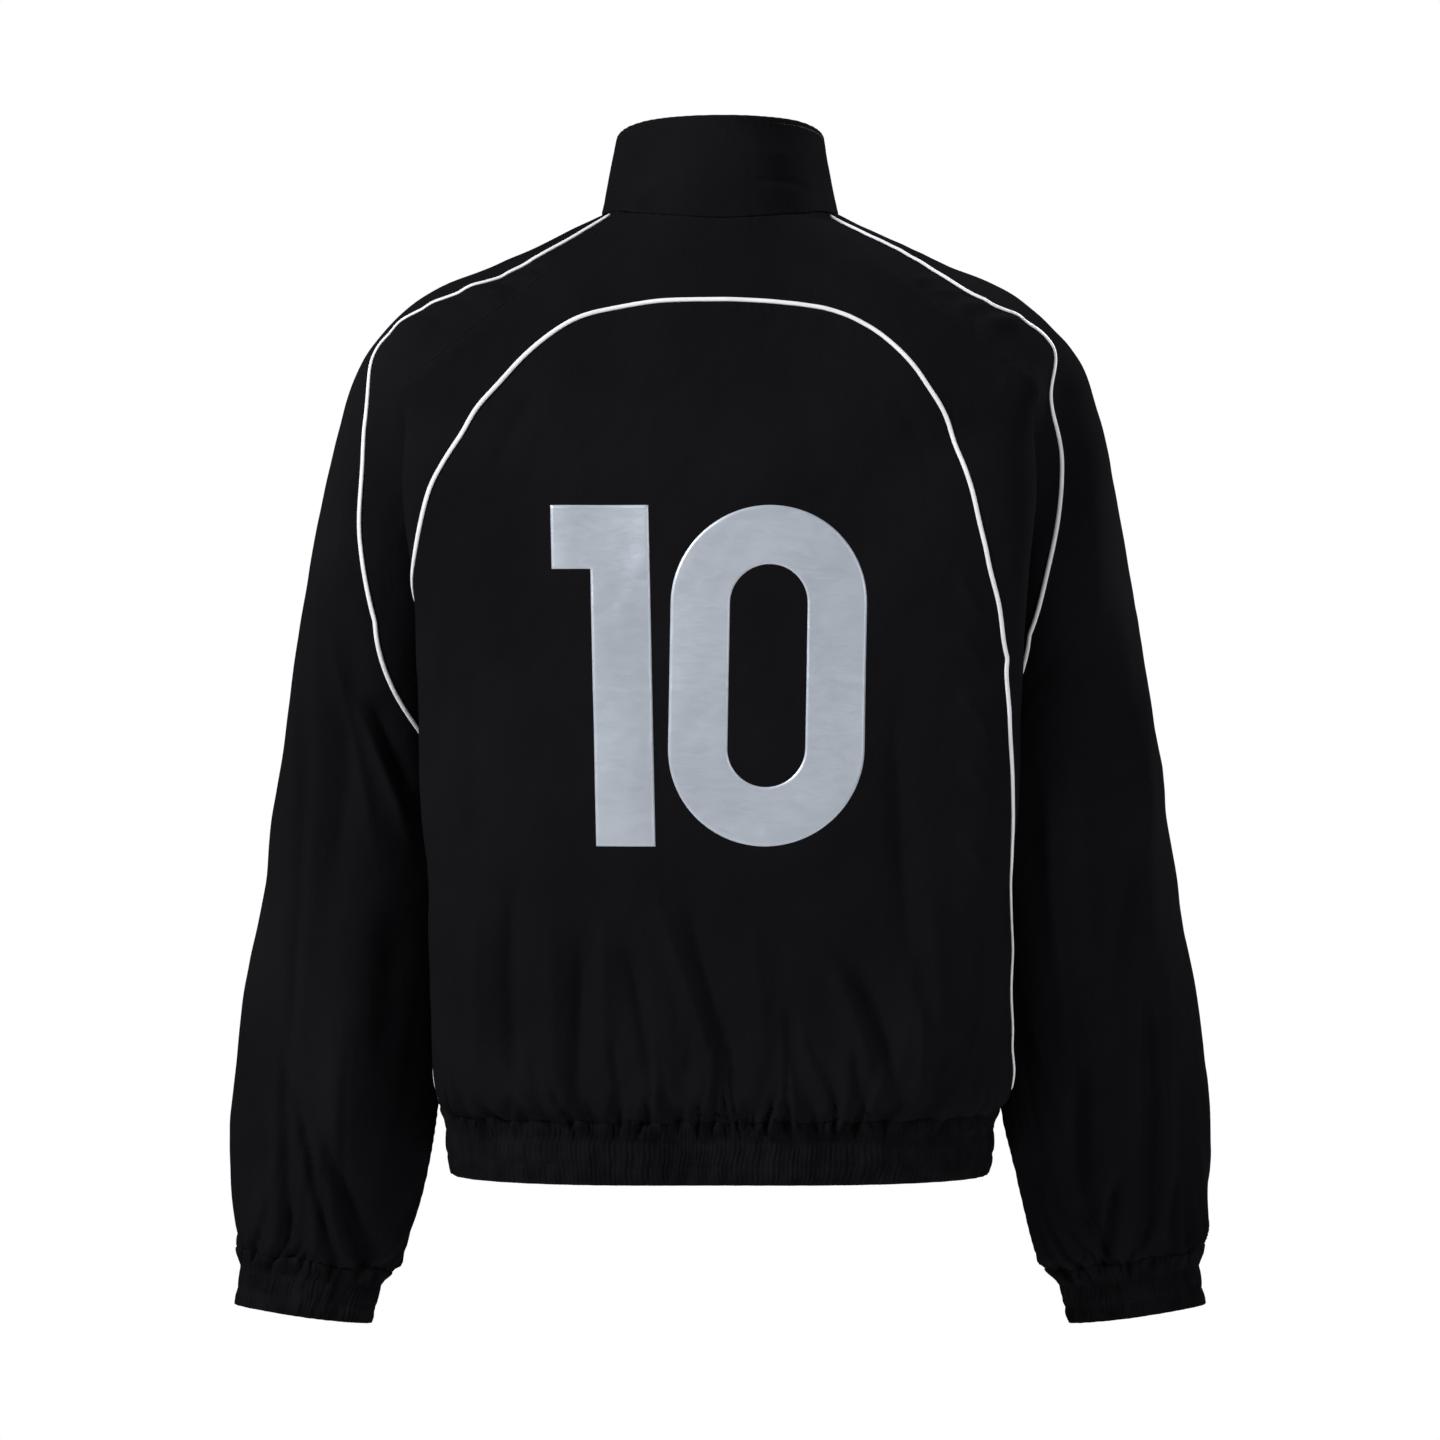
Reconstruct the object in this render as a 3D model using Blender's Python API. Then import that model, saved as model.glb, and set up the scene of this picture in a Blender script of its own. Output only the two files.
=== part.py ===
"""Track jacket with a stand collar, raglan sleeves and elastic hem and cuffs, hollow as when it is worn.

Metres, +Z up. The front faces -Y, the back +Y, and +X is the wearer's left.
The origin is at the middle of the neck, level with the shoulders, where the wearer carries the jacket.

The cloth follows one net of sections. Rows 0 to 8 run round the whole jacket, from the neck seam over
the shoulders to the underarm. From row 8 down the trunk and each sleeve have rows of their own.
A row is a smooth curve through its named points, and the points run smoothly from row to row.
"""
import math

import bmesh
import bpy
import numpy as np

# ---------------------------------------------------------------- driving sizes

WALL = 0.0015              # cloth, with its turned seam allowances
SEAM = 0.0003              # gap between two pieces at a seam

PIPING_WIDTH = 0.0030
PIPING_HEIGHT = 0.0018
PIPING_LIFT = 0.0006       # from the cloth to the piping's underside
# Section of a piping, a round cord in its cover: across (in half widths) and up (in heights).
PIPING_SECTION = ((-0.55, 0.0), (-1.0, 0.45), (0.0, 1.0), (1.0, 0.45), (0.55, 0.0))

COLLAR_TOP = (0.0695, 0.0775, -0.0075)     # half width, half depth and y of the middle of the top edge
# Height of the collar's top edge over the origin at u 0 to 3: the back, two raglan seams and the zip.
COLLAR_RISE = (0.0584, 0.0570, 0.0400, -0.0070)
NECK_MIDDLE = (0.0780, 0.0810, -0.0055)    # the same of the neck seam

HEM_HEIGHT = 0.041
HEM_BULGE = 0.0012
HEM_TAPER = 0.0020         # the band's lower edge lies this far inside its seam
HEM_RIBS = 58
CUFF_HEIGHT = 0.038
CUFF_STEP = (0.0078, -0.0010, -0.0355)     # the way a cuff runs down from its seam
CUFF_TAPER = 0.03
CUFF_RIBS = 16
RIB_DEPTH = 0.0012

HEM_GATHERS = 58
HEM_GATHER_DEPTH = 0.0042
HEM_GATHER_REACH = 0.030
CUFF_GATHERS = 15
CUFF_GATHER_DEPTH = 0.0040
CUFF_GATHER_REACH = 0.026
CUFF_ROW_LENGTH = 0.020    # of a sleeve, from row to row near the cuff
ARCH_LEGS = (1.41, -1.44)  # where the back's piping meets the hem, as angles from the middle of the back
LEG_CALM = 0.09            # angle beside it over which the gathers come back

FRONT_EDGE = 0.0036        # from the middle of the zip to a front's edge
FRONT_EASE = 0.050         # width over which a front gives way to the zip
TAPE_WIDTH = 0.013
TAPE_WALL = 0.0010
TAPE_LIFT = 0.0005         # from a front's inner side to the tape behind it
CHAIN_WIDTH = 0.0060
CHAIN_THICKNESS = 0.0022
CHAIN_FRONT = 0.0005       # from a front's outer side to the face of the chain
CHAIN_END = 0.0070         # from the hem's lower edge to the chain's lower end
CHAIN_TOP = 0.0015         # from the collar's top edge down to the chain
SLIDER_ROW = -0.80         # of the collar's height
SLIDER_SIZE = (0.0084, 0.0020, 0.0110)
SLIDER_GAP = 0.0005        # from the chain to the slider
SLIDER_BEVEL = 0.0006
BRIDGE_SIZE = (0.0022, 0.0034, 0.0084)
BRIDGE_ROOT = 0.0004       # how far the bridge's ends run into the slider's body
BRIDGE_BEVEL = 0.0004
BRIDGE_WINDOW = (0.0050, 0.0022, 0.0054)
PULL_SIZE = (0.0058, 0.0011, 0.0240)
PULL_WINDOW = (0.0036, 0.0030, 0.0062)
PULL_BEVEL = 0.00035
PULL_BAR = 0.0011
BAR_REST = 0.0004          # from the bridge window's floor to the bar
BOX_SIZE = (0.0068, 0.0028, 0.0064)
BOX_BEVEL = 0.0005
BOX_BACK = 0.0010          # from the cloth's outer side to the box's back
BOX_LIFT = 0.0003          # from the hem's lower edge to the box

# ---------------------------------------------------------------- tables of the net

# Rows 0 to 8, back: middle (y, z), half-way, near the edge and behind the edge (x, y), raglan seam (x, y, z).
YOKE_BACK = (
    # y_mid   z_mid   x_half  y_half  x_edge  y_edge  x_tuck  y_tuck  x_seam  y_seam  z_seam
    (0.0760, -0.0100, 0.0300, 0.0735, 0.0540, 0.0575, 0.0600, 0.0500, 0.0650, 0.0410, -0.0020),
    (0.0920, -0.0420, 0.0450, 0.0895, 0.0800, 0.0825, 0.0895, 0.0785, 0.0985, 0.0730, -0.0340),
    (0.1040, -0.0750, 0.0600, 0.1015, 0.1050, 0.0965, 0.1170, 0.0935, 0.1290, 0.0890, -0.0600),
    (0.1130, -0.1080, 0.0750, 0.1105, 0.1300, 0.1065, 0.1445, 0.1035, 0.1580, 0.0990, -0.0820),
    (0.1200, -0.1420, 0.0900, 0.1175, 0.1580, 0.1110, 0.1725, 0.1078, 0.1860, 0.1030, -0.1050),
    (0.1250, -0.1780, 0.1050, 0.1215, 0.1840, 0.1085, 0.1965, 0.1045, 0.2055, 0.0980, -0.1255),
    (0.1280, -0.2160, 0.1150, 0.1235, 0.2040, 0.0985, 0.2045, 0.0860, 0.1980, 0.0720, -0.1680),
    (0.1300, -0.2570, 0.1200, 0.1245, 0.2010, 0.0950, 0.1940, 0.0740, 0.1840, 0.0500, -0.2290),
    (0.1310, -0.3000, 0.1200, 0.1245, 0.1975, 0.0910, 0.1740, 0.0610, 0.1655, 0.0000, -0.2970),
)

# Rows 0 to 8, front: raglan seam (x, y, z), behind the edge and near it (x, y), half-way, middle (y, z).
YOKE_FRONT = (
    # x_seam  y_seam   z_seam   x_tuck  y_tuck   x_edge  y_edge   x_half  y_half   y_mid    z_mid
    (0.0650, -0.0480, -0.0200, 0.0578, -0.0588, 0.0500, -0.0680, 0.0270, -0.0820, -0.0870, -0.0750),
    (0.0910, -0.0710, -0.0400, 0.0819, -0.0798, 0.0720, -0.0870, 0.0400, -0.0970, -0.1000, -0.0970),
    (0.1190, -0.0890, -0.0680, 0.1078, -0.0962, 0.0960, -0.1020, 0.0550, -0.1110, -0.1130, -0.1220),
    (0.1440, -0.1010, -0.0970, 0.1304, -0.1082, 0.1160, -0.1140, 0.0660, -0.1220, -0.1240, -0.1490),
    (0.1660, -0.1070, -0.1300, 0.1514, -0.1145, 0.1360, -0.1210, 0.0800, -0.1300, -0.1320, -0.1780),
    (0.1800, -0.1070, -0.1660, 0.1663, -0.1150, 0.1520, -0.1230, 0.0920, -0.1350, -0.1380, -0.2080),
    (0.1870, -0.0980, -0.2060, 0.1757, -0.1097, 0.1640, -0.1210, 0.1020, -0.1380, -0.1420, -0.2400),
    (0.1850, -0.0720, -0.2500, 0.1800, -0.0920, 0.1730, -0.1120, 0.1100, -0.1400, -0.1450, -0.2700),
    (0.1655, 0.0000, -0.2970, 0.1675, -0.0520, 0.1740, -0.0960, 0.1150, -0.1400, -0.1460, -0.3000),
)

# Rows 0 to 8, sleeve head: back (x, y) twice, outer line (x, y, z), front (x, y) twice.
SLEEVE_HEAD = (
    # x_in    y_in    x_back  y_back  x_out   y_out    z_out    x_front y_front  x_fin   y_fin
    (0.0725, 0.0260, 0.0775, 0.0110, 0.0795, -0.0050, 0.0000, 0.0775, -0.0205, 0.0725, -0.0345),
    (0.1080, 0.0550, 0.1135, 0.0280, 0.1155, -0.0050, -0.0182, 0.1120, -0.0340, 0.1030, -0.0560),
    (0.1460, 0.0700, 0.1570, 0.0380, 0.1610, -0.0060, -0.0385, 0.1550, -0.0440, 0.1400, -0.0710),
    (0.1800, 0.0780, 0.1950, 0.0430, 0.2000, -0.0070, -0.0580, 0.1920, -0.0510, 0.1720, -0.0810),
    (0.2090, 0.0800, 0.2250, 0.0450, 0.2300, -0.0080, -0.0850, 0.2220, -0.0570, 0.1980, -0.0880),
    (0.2160, 0.0720, 0.2380, 0.0450, 0.2470, -0.0090, -0.1150, 0.2390, -0.0620, 0.2120, -0.0930),
    (0.2130, 0.0620, 0.2430, 0.0480, 0.2585, -0.0100, -0.1580, 0.2490, -0.0660, 0.2200, -0.0950),
    (0.2020, 0.0600, 0.2430, 0.0570, 0.2685, -0.0110, -0.2050, 0.2560, -0.0700, 0.2230, -0.0950),
    (0.1900, 0.0550, 0.2330, 0.0680, 0.2780, -0.0120, -0.2540, 0.2590, -0.0750, 0.2130, -0.0900),
)

# Rows 9 to 15 of the trunk, down to the hem seam, level all round: the back, then the side seam.
TRUNK_BACK = (
    # z       y_mid   x_half  y_half  x_edge  y_edge  x_tuck  y_tuck  x_side  y_side
    (-0.3500, 0.1310, 0.1200, 0.1240, 0.1955, 0.0880, 0.1740, 0.0570, 0.1600, -0.0040),
    (-0.4050, 0.1290, 0.1190, 0.1220, 0.1930, 0.0830, 0.1755, 0.0540, 0.1620, -0.0060),
    (-0.4600, 0.1260, 0.1180, 0.1190, 0.1900, 0.0780, 0.1780, 0.0480, 0.1675, -0.0060),
    (-0.5150, 0.1220, 0.1170, 0.1140, 0.1900, 0.0680, 0.1840, 0.0390, 0.1760, -0.0050),
    (-0.5600, 0.1180, 0.1150, 0.1100, 0.1880, 0.0585, 0.1885, 0.0310, 0.1822, -0.0030),
    (-0.5850, 0.1140, 0.1120, 0.1060, 0.1830, 0.0545, 0.1862, 0.0285, 0.1838, -0.0020),
    (-0.5980, 0.1080, 0.1075, 0.1005, 0.1735, 0.0520, 0.1795, 0.0270, 0.1810, -0.0020),
)

# The same rows of a front, from its tuck column to the middle.
TRUNK_FRONT = (
    # x_tuck  y_tuck   x_edge  y_edge   x_half  y_half   y_mid
    (0.1640, -0.0530, 0.1720, -0.0950, 0.1150, -0.1390, -0.1460),
    (0.1660, -0.0520, 0.1720, -0.0930, 0.1140, -0.1370, -0.1440),
    (0.1710, -0.0500, 0.1720, -0.0900, 0.1130, -0.1320, -0.1390),
    (0.1770, -0.0460, 0.1720, -0.0840, 0.1120, -0.1250, -0.1320),
    (0.1807, -0.0415, 0.1710, -0.0770, 0.1100, -0.1180, -0.1250),
    (0.1808, -0.0397, 0.1690, -0.0740, 0.1080, -0.1130, -0.1200),
    (0.1784, -0.0382, 0.1660, -0.0710, 0.1050, -0.1070, -0.1130),
)

# Rows 9 to 17 of a sleeve, down to the cuff seam: an oval round the middle, its outer side higher by tilt.
SLEEVE = (
    # x_mid   y_mid    z_mid    half_width half_depth half_tilt
    (0.2280, -0.0100, -0.3300, 0.0590, 0.0770, 0.0195),
    (0.2330, -0.0130, -0.3850, 0.0630, 0.0710, 0.0175),
    (0.2395, -0.0170, -0.4400, 0.0645, 0.0645, 0.0155),
    (0.2465, -0.0210, -0.4950, 0.0648, 0.0580, 0.0135),
    (0.2535, -0.0250, -0.5500, 0.0655, 0.0525, 0.0120),
    (0.2607, -0.0290, -0.6050, 0.0646, 0.0470, 0.0100),
    (0.2671, -0.0320, -0.6550, 0.0607, 0.0400, 0.0085),
    (0.2712, -0.0340, -0.6850, 0.0540, 0.0310, 0.0075),
    (0.2745, -0.0350, -0.7030, 0.0470, 0.0205, 0.0065),
)

# The white piping over the back, from the hem at the +X side over its arch to the hem at the -X side.
ARCH = (
    # u     row
    (0.870, 15.00),
    (0.860, 13.50),
    (0.855, 12.00),
    (0.850, 10.90),
    (0.843, 10.00),
    (0.834, 9.30),
    (0.817, 8.60),
    (0.795, 8.00),
    (0.776, 7.50),
    (0.759, 7.02),
    (0.745, 6.55),
    (0.742, 6.15),
    (0.756, 5.79),
    (0.773, 5.43),
    (0.760, 4.90),
    (0.748, 4.24),
    (0.744, 3.62),
    (0.725, 3.11),
    (0.681, 2.61),
    (0.599, 2.23),
    (0.478, 1.99),
    (0.343, 1.84),
    (0.183, 1.75),
    (0.015, 1.72),
    (-0.152, 1.75),
    (-0.303, 1.83),
    (-0.451, 1.97),
    (-0.573, 2.21),
    (-0.653, 2.61),
    (-0.690, 3.09),
    (-0.703, 3.66),
    (-0.697, 4.31),
    (-0.697, 4.98),
    (-0.692, 5.48),
    (-0.660, 5.87),
    (-0.642, 6.27),
    (-0.644, 6.66),
    (-0.640, 7.00),
    (-0.622, 7.37),
    (-0.590, 7.73),
    (-0.569, 8.11),
    (-0.574, 8.50),
    (-0.584, 8.89),
    (-0.595, 9.28),
    (-0.607, 9.65),
    (-0.623, 10.03),
    (-0.645, 10.40),
    (-0.668, 10.77),
    (-0.688, 11.15),
    (-0.708, 11.60),
    (-0.735, 12.10),
    (-0.764, 12.60),
    (-0.790, 13.10),
    (-0.816, 13.60),
    (-0.852, 14.20),
    (-0.895, 15.00),
)

# The piping down each sleeve: its u at rows 0 to 10, by side (1 is +X).
SLEEVE_PIPING = {
    1: (0.088, 0.119, 0.120, 0.178, 0.238, 0.203, 0.163, 0.192, 0.238, 0.188, 0.006),
    -1: (0.095, 0.138, 0.138, 0.142, 0.190, 0.118, 0.119, 0.134, 0.180, 0.125, 0.006),
}

# Large folds, seen square on: side 1 is the back and -1 the front, x and z of both ends, width and height.
FOLDS = (
    # side  x_top   z_top   x_end   z_end   width   height
    (1, 0.1600, -0.0330, 0.1060, -0.0390, 0.0050, 0.0022),
    (1, 0.1880, -0.0480, 0.1350, -0.0560, 0.0055, 0.0024),
    (1, 0.2200, -0.0760, 0.1780, -0.0830, 0.0060, 0.0022),
    (1, -0.1780, -0.0540, -0.1460, -0.0560, 0.0055, 0.0022),
    (1, -0.2120, -0.0740, -0.1700, -0.0720, 0.0060, 0.0024),
    (1, 0.2640, -0.1900, 0.2830, -0.4300, 0.0140, 0.0050),
    (1, 0.2420, -0.2700, 0.2560, -0.4600, 0.0120, -0.0045),
    (1, -0.2600, -0.2300, -0.2900, -0.4700, 0.0150, 0.0050),
    (1, -0.2360, -0.3400, -0.2550, -0.5200, 0.0120, -0.0040),
    (1, 0.0800, -0.4700, 0.1300, -0.5900, 0.0120, 0.0035),
    (1, -0.0200, -0.4500, -0.0500, -0.5900, 0.0130, 0.0035),
    (1, -0.1200, -0.4200, -0.1100, -0.5900, 0.0130, 0.0040),
    (-1, 0.1800, -0.0600, 0.1300, -0.0950, 0.0070, 0.0025),
    (-1, -0.1800, -0.0620, -0.1300, -0.1000, 0.0070, 0.0025),
    (-1, 0.0900, -0.4400, 0.1150, -0.5900, 0.0130, 0.0035),
    (-1, -0.0900, -0.4600, -0.1000, -0.5900, 0.0130, 0.0035),
    (-1, 0.2600, -0.2500, 0.2800, -0.4600, 0.0140, 0.0045),
    (-1, -0.2600, -0.2700, -0.2750, -0.4800, 0.0140, 0.0045),
)

# ---------------------------------------------------------------- how the net is read

UNDERARM = 8
HEM_ROW = UNDERARM + len(TRUNK_BACK)
CUFF_ROW = UNDERARM + len(SLEEVE)
PIPING_END = 10            # row where a sleeve's piping reaches the sleeve's seam
SIDE_SEAM = [(line[8], line[9], line[0]) for line in TRUNK_BACK]
RING_ANGLES = (130.0, 82.0, 0.0, -57.0, -108.0)   # of a sleeve oval's points, from the outer side
DOWN = (0.0, 0.0, -1.0)
BACKWARDS = np.array((0.0, 1.0, 0.0))
CREASE_START = 4.5         # from this row to the next the raglan seam turns into a valley
CREASE_END = 6.5
RING_EASE = 0.8            # rows over which it then closes into the rings of trunk and sleeve
SEAM_RISE = 1.6            # how late a half row leaves the middle's level for its seam

# Rows and steps of u at which the pieces have points.
YOKE_LINES = tuple(np.linspace(0.0, UNDERARM, 13))
TRUNK_LINES = (8.6, 9.4, 10.3, 11.2, 12.1, 12.9)
HEM_LINES = (13.5, 14.1, 14.6, 15.0)
SLEEVE_LINES = (8.5, 9.0, 9.5, 10.0, 11.0, 12.0, 13.0, 14.0, 15.0)
CUFF_LINES = (15.7, 16.3, 17.0)
COLLAR_LINES = (-1.0, -0.67, -0.33, -0.010)
BACK_STEP = 1.0 / 9.0
SIDE_STEP = 1.0 / 18.0
SLEEVE_STEP = 1.0 / 19.0
POINTS_A_GATHER = 3
ARCH_SHOULDER = 4.0        # above this row the arch is a top, below it has two legs
NECK_COUNT = 12            # points along the back's neck edge
ARCH_TOP_COUNT = NECK_COUNT + 12
EDGE_LEAN = np.array((0.37, 0.21, 1.0))   # both walls at a seam split their edge faces the same way along it

# ---------------------------------------------------------------- splines


def smoothstep(x):
    """0 below 0, 1 above 1, and smooth between them."""
    x = np.clip(x, 0.0, 1.0)
    return x * x * (3.0 - 2.0 * x)


def spline_down(table, row):
    """Natural cubic spline through a table's rows, read at the row numbers given."""
    table = np.asarray(table, float)
    row = np.asarray(row, float)
    count = len(table)
    system = np.diag(np.full(count, 4.0)) + np.diag(np.ones(count - 1), 1) + np.diag(np.ones(count - 1), -1)
    system[0, 0] = 2.0
    system[-1, -1] = 2.0
    ahead = np.concatenate((table[1:], table[-1:]))
    behind = np.concatenate((table[:1], table[:-1]))
    slope = np.linalg.solve(system, 3.0 * (ahead - behind))
    k = np.clip(np.floor(row).astype(int), 0, count - 2)
    t = (row - k)[..., None]
    return ((1 + 2 * t) * (1 - t) ** 2 * table[k] + t * (1 - t) ** 2 * slope[k]
            + t * t * (3 - 2 * t) * table[k + 1] + t * t * (t - 1) * slope[k + 1])


def spline_round(points, start, end, u):
    """Cubic spline of each row of points (n, k, 3) at u (n,) of its length, with unit end directions."""
    count = points.shape[1]
    chord = np.linalg.norm(np.diff(points, axis=1), axis=2)
    system = np.zeros((len(points), count, count))
    right = np.zeros((len(points), count, 3))
    system[:, 0, 0] = 1.0
    system[:, -1, -1] = 1.0
    right[:, 0] = start
    right[:, -1] = end
    for i in range(1, count - 1):
        before = chord[:, i - 1]
        after = chord[:, i]
        system[:, i, i - 1] = after
        system[:, i, i] = 2 * (before + after)
        system[:, i, i + 1] = before
        right[:, i] = 3 * ((after / before)[:, None] * (points[:, i] - points[:, i - 1])
                           + (before / after)[:, None] * (points[:, i + 1] - points[:, i]))
    slope = np.linalg.solve(system, right)
    knots = np.concatenate((np.zeros((len(points), 1)), np.cumsum(chord, axis=1)), axis=1)
    at = u * knots[:, -1]
    k = np.clip((at[:, None] >= knots[:, 1:-1]).sum(axis=1), 0, count - 2)
    n = np.arange(len(points))
    h = chord[n, k][:, None]
    t = ((at - knots[n, k])[:, None]) / h
    return ((1 + 2 * t) * (1 - t) ** 2 * points[n, k] + t * (1 - t) ** 2 * h * slope[n, k]
            + t * t * (3 - 2 * t) * points[n, k + 1] + t * t * (t - 1) * h * slope[n, k + 1])


def unit(vectors):
    return vectors / np.linalg.norm(vectors, axis=-1, keepdims=True)


# ---------------------------------------------------------------- rows of the net


def stack(*columns):
    """Points from x, y and z columns, each an array or one number."""
    return np.stack(np.broadcast_arrays(*columns), axis=-1)


def half_row(middle, between, seam):
    """Points of a half row from the jacket's middle (y, z) to the seam: level first, then rising to the seam."""
    y_mid, z_mid = middle
    xy = np.stack([stack(0 * y_mid, y_mid)] + between + [seam[:, :2]])
    step = np.linalg.norm(np.diff(xy, axis=0), axis=-1)
    reach = np.concatenate((np.zeros((1, len(y_mid))), np.cumsum(step, axis=0)))
    z = z_mid + (seam[:, 2] - z_mid) * (reach / reach[-1]) ** SEAM_RISE
    return np.concatenate((xy, z[..., None]), axis=-1).swapaxes(0, 1)


def cornered(above, below, row):
    """A seam's points: through the rows down to the underarm, where it turns, then through the rows below."""
    row = np.asarray(row, float)
    upper = spline_down(above, np.minimum(row, UNDERARM))
    lower = spline_down(np.concatenate((np.array(above)[-1:], below)), np.maximum(row - UNDERARM, 0.0))
    return np.where((row <= UNDERARM)[:, None], upper, lower)


def back_net(row):
    """Points of the back's half rows 0 to 15, from the middle to the raglan or side seam."""
    upper = [line[:8] for line in YOKE_BACK]
    lower = [(line[1], line[0]) + line[2:8] for line in TRUNK_BACK]
    y_mid, z_mid, x_half, y_half, x_edge, y_edge, x_tuck, y_tuck = spline_down(upper + lower, row).T
    seam = cornered([line[8:] for line in YOKE_BACK], SIDE_SEAM, row)
    between = [stack(x_half, y_half), stack(x_edge, y_edge), stack(x_tuck, y_tuck)]
    return half_row((y_mid, z_mid), between, seam)


def front_net(row):
    """Points of a front's half rows 0 to 15, from the middle to the raglan or side seam."""
    upper = [line[3:] for line in YOKE_FRONT]
    lower = [line + side[2:] for line, side in zip(TRUNK_FRONT, SIDE_SEAM)]
    x_tuck, y_tuck, x_edge, y_edge, x_half, y_half, y_mid, z_mid = spline_down(upper + lower, row).T
    seam = cornered([line[:3] for line in YOKE_FRONT], SIDE_SEAM, row)
    between = [stack(x_half, y_half), stack(x_edge, y_edge), stack(x_tuck, y_tuck)]
    return half_row((y_mid, z_mid), between, seam)


def sleeve_net(row):
    """Points of a sleeve's rows 0 to 17, from the back seam round the outer side to the front seam."""
    rows = []
    for back, front, head in zip(YOKE_BACK, YOKE_FRONT, SLEEVE_HEAD):
        seam, other = np.array(back[8:]), np.array(front[:3])
        outer = np.array(head[4:7])
        points = []
        for x, y in (head[0:2], head[2:4]):
            points.append((x, y, seam[2] + (outer[2] - seam[2]) * (x - seam[0]) / (outer[0] - seam[0])))
        points.append(outer)
        for x, y in (head[7:9], head[9:11]):
            points.append((x, y, other[2] + (outer[2] - other[2]) * (x - other[0]) / (outer[0] - other[0])))
        rows.append(np.concatenate(points))
    inner_side = []
    for x, y, z, half_width, half_depth, tilt in SLEEVE:
        ring = []
        for angle in np.radians(RING_ANGLES):
            across = math.cos(angle)
            ring.append((x + half_width * across, y + half_depth * math.sin(angle), z + tilt * across))
        rows.append(np.concatenate(ring))
        inner_side.append((x - half_width, y, z - tilt))
    between = spline_down(rows, row).reshape(len(row), 5, 3)
    back_seam = cornered([line[8:] for line in YOKE_BACK], inner_side, row)
    front_seam = cornered([line[:3] for line in YOKE_FRONT], inner_side, row)
    return np.concatenate((back_seam[:, None], between, front_seam[:, None]), axis=1)


def turned(row, over, into, way_round):
    """A panel's direction at its seam.

    Over the shoulder it runs straight over the seam, towards the underarm it turns into a valley, and
    from the underarm down it runs round the hollow.
    """
    valley = smoothstep((row - CREASE_START) / (CREASE_END - CREASE_START))[:, None]
    ring = smoothstep((row - UNDERARM) / RING_EASE + 1.0)[:, None]
    return unit((1 - ring) * ((1 - valley) * unit(over) + valley * unit(into)) + ring * way_round)


def back_surface(u, row):
    """The back: u runs from -1 at the -X seam to 1 at the +X seam."""
    net = back_net(row)
    sleeve = sleeve_net(np.minimum(row, UNDERARM))
    end = turned(row, sleeve[:, 1] - net[:, 3], net[:, 4] - net[:, 3], -BACKWARDS)
    point = spline_round(net, (1.0, 0.0, 0.0), end, np.abs(u))
    point[:, 0] *= np.sign(u)
    return point


def zip_ease(x):
    """How far a point near the middle of the front gives way to the zip."""
    return FRONT_EDGE * (1.0 - smoothstep(x / FRONT_EASE))


def front_surface(u, row):
    """The front: u runs from 0 at the raglan or side seam to 1 at the middle, on the +X side."""
    net = front_net(row)[:, ::-1]
    sleeve = sleeve_net(np.minimum(row, UNDERARM))
    start = turned(row, net[:, 1] - sleeve[:, 5], net[:, 1] - net[:, 0], -BACKWARDS)
    point = spline_round(net, start, (-1.0, 0.0, 0.0), u)
    point[:, 0] += zip_ease(point[:, 0])
    return point


def sleeve_surface(u, row):
    """The +X sleeve: u runs from 0 at the back seam, round its outer side, to 1 at the front seam."""
    net = sleeve_net(row)
    back = back_net(np.minimum(row, UNDERARM))
    front = front_net(np.minimum(row, UNDERARM))
    start = turned(row, net[:, 1] - back[:, 3], net[:, 1] - net[:, 0], BACKWARDS)
    end = turned(row, front[:, 3] - net[:, 5], net[:, 6] - net[:, 5], BACKWARDS)
    return spline_round(net, start, end, u)


# ---------------------------------------------------------------- gathers and large folds

def wave(turns):
    """0 between two gathers and 1 on top of one."""
    return 0.5 - 0.5 * np.cos(2.0 * math.pi * turns)


def puff(above):
    """How far a gather stands out over its seam: it swells just above the seam and dies out further up."""
    above = np.clip(above, 0.0, None)
    return (0.45 + 0.55 * smoothstep(above / 0.25)) * np.exp(-above ** 1.5)


def hem_gathers(point):
    """Height of the gathers over the hem seam, unevenly spaced round the jacket."""
    around = np.arctan2(point[:, 0], point[:, 1])
    turns = HEM_GATHERS * around / (2.0 * math.pi) + 0.40 * np.sin(5 * around + 1.0) + 0.30 * np.sin(9 * around)
    above = (point[:, 2] - TRUNK_BACK[-1][0]) / (HEM_GATHER_REACH * (1.0 + 0.5 * np.sin(7 * around + 2.0)))
    depth = HEM_GATHER_DEPTH
    for leg in ARCH_LEGS:
        depth = depth * (1.0 - np.exp(-((around - leg) / LEG_CALM) ** 2))
    return depth * wave(turns) * puff(above)


def cuff_gathers(u, row):
    """Height of the gathers over a cuff seam, unevenly spaced round the sleeve."""
    turns = CUFF_GATHERS * u + 0.30 * np.sin(4.0 * math.pi * u + 0.7)
    above = (CUFF_ROW - row) * CUFF_ROW_LENGTH / (CUFF_GATHER_REACH * (1.0 + 0.4 * np.sin(6.0 * math.pi * u)))
    return CUFF_GATHER_DEPTH * wave(turns) * puff(above)


def fold_height(point, normal):
    """Height of the large folds at each point: a round ridge or trough that dies out at both ends."""
    height = np.zeros(len(point))
    for side, x_top, z_top, x_end, z_end, width, rise in FOLDS:
        run = np.array((x_end - x_top, z_end - z_top))
        length = np.linalg.norm(run)
        offset = point[:, (0, 2)] - (x_top, z_top)
        along = offset @ run / length ** 2
        across = (offset[:, 0] * run[1] - offset[:, 1] * run[0]) / length
        ends = smoothstep(along / 0.35) * smoothstep((1.0 - along) / 0.35)
        height += rise * ends * np.exp(-(across / width) ** 2) * smoothstep(2.5 * side * normal[:, 1])
    return height


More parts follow.
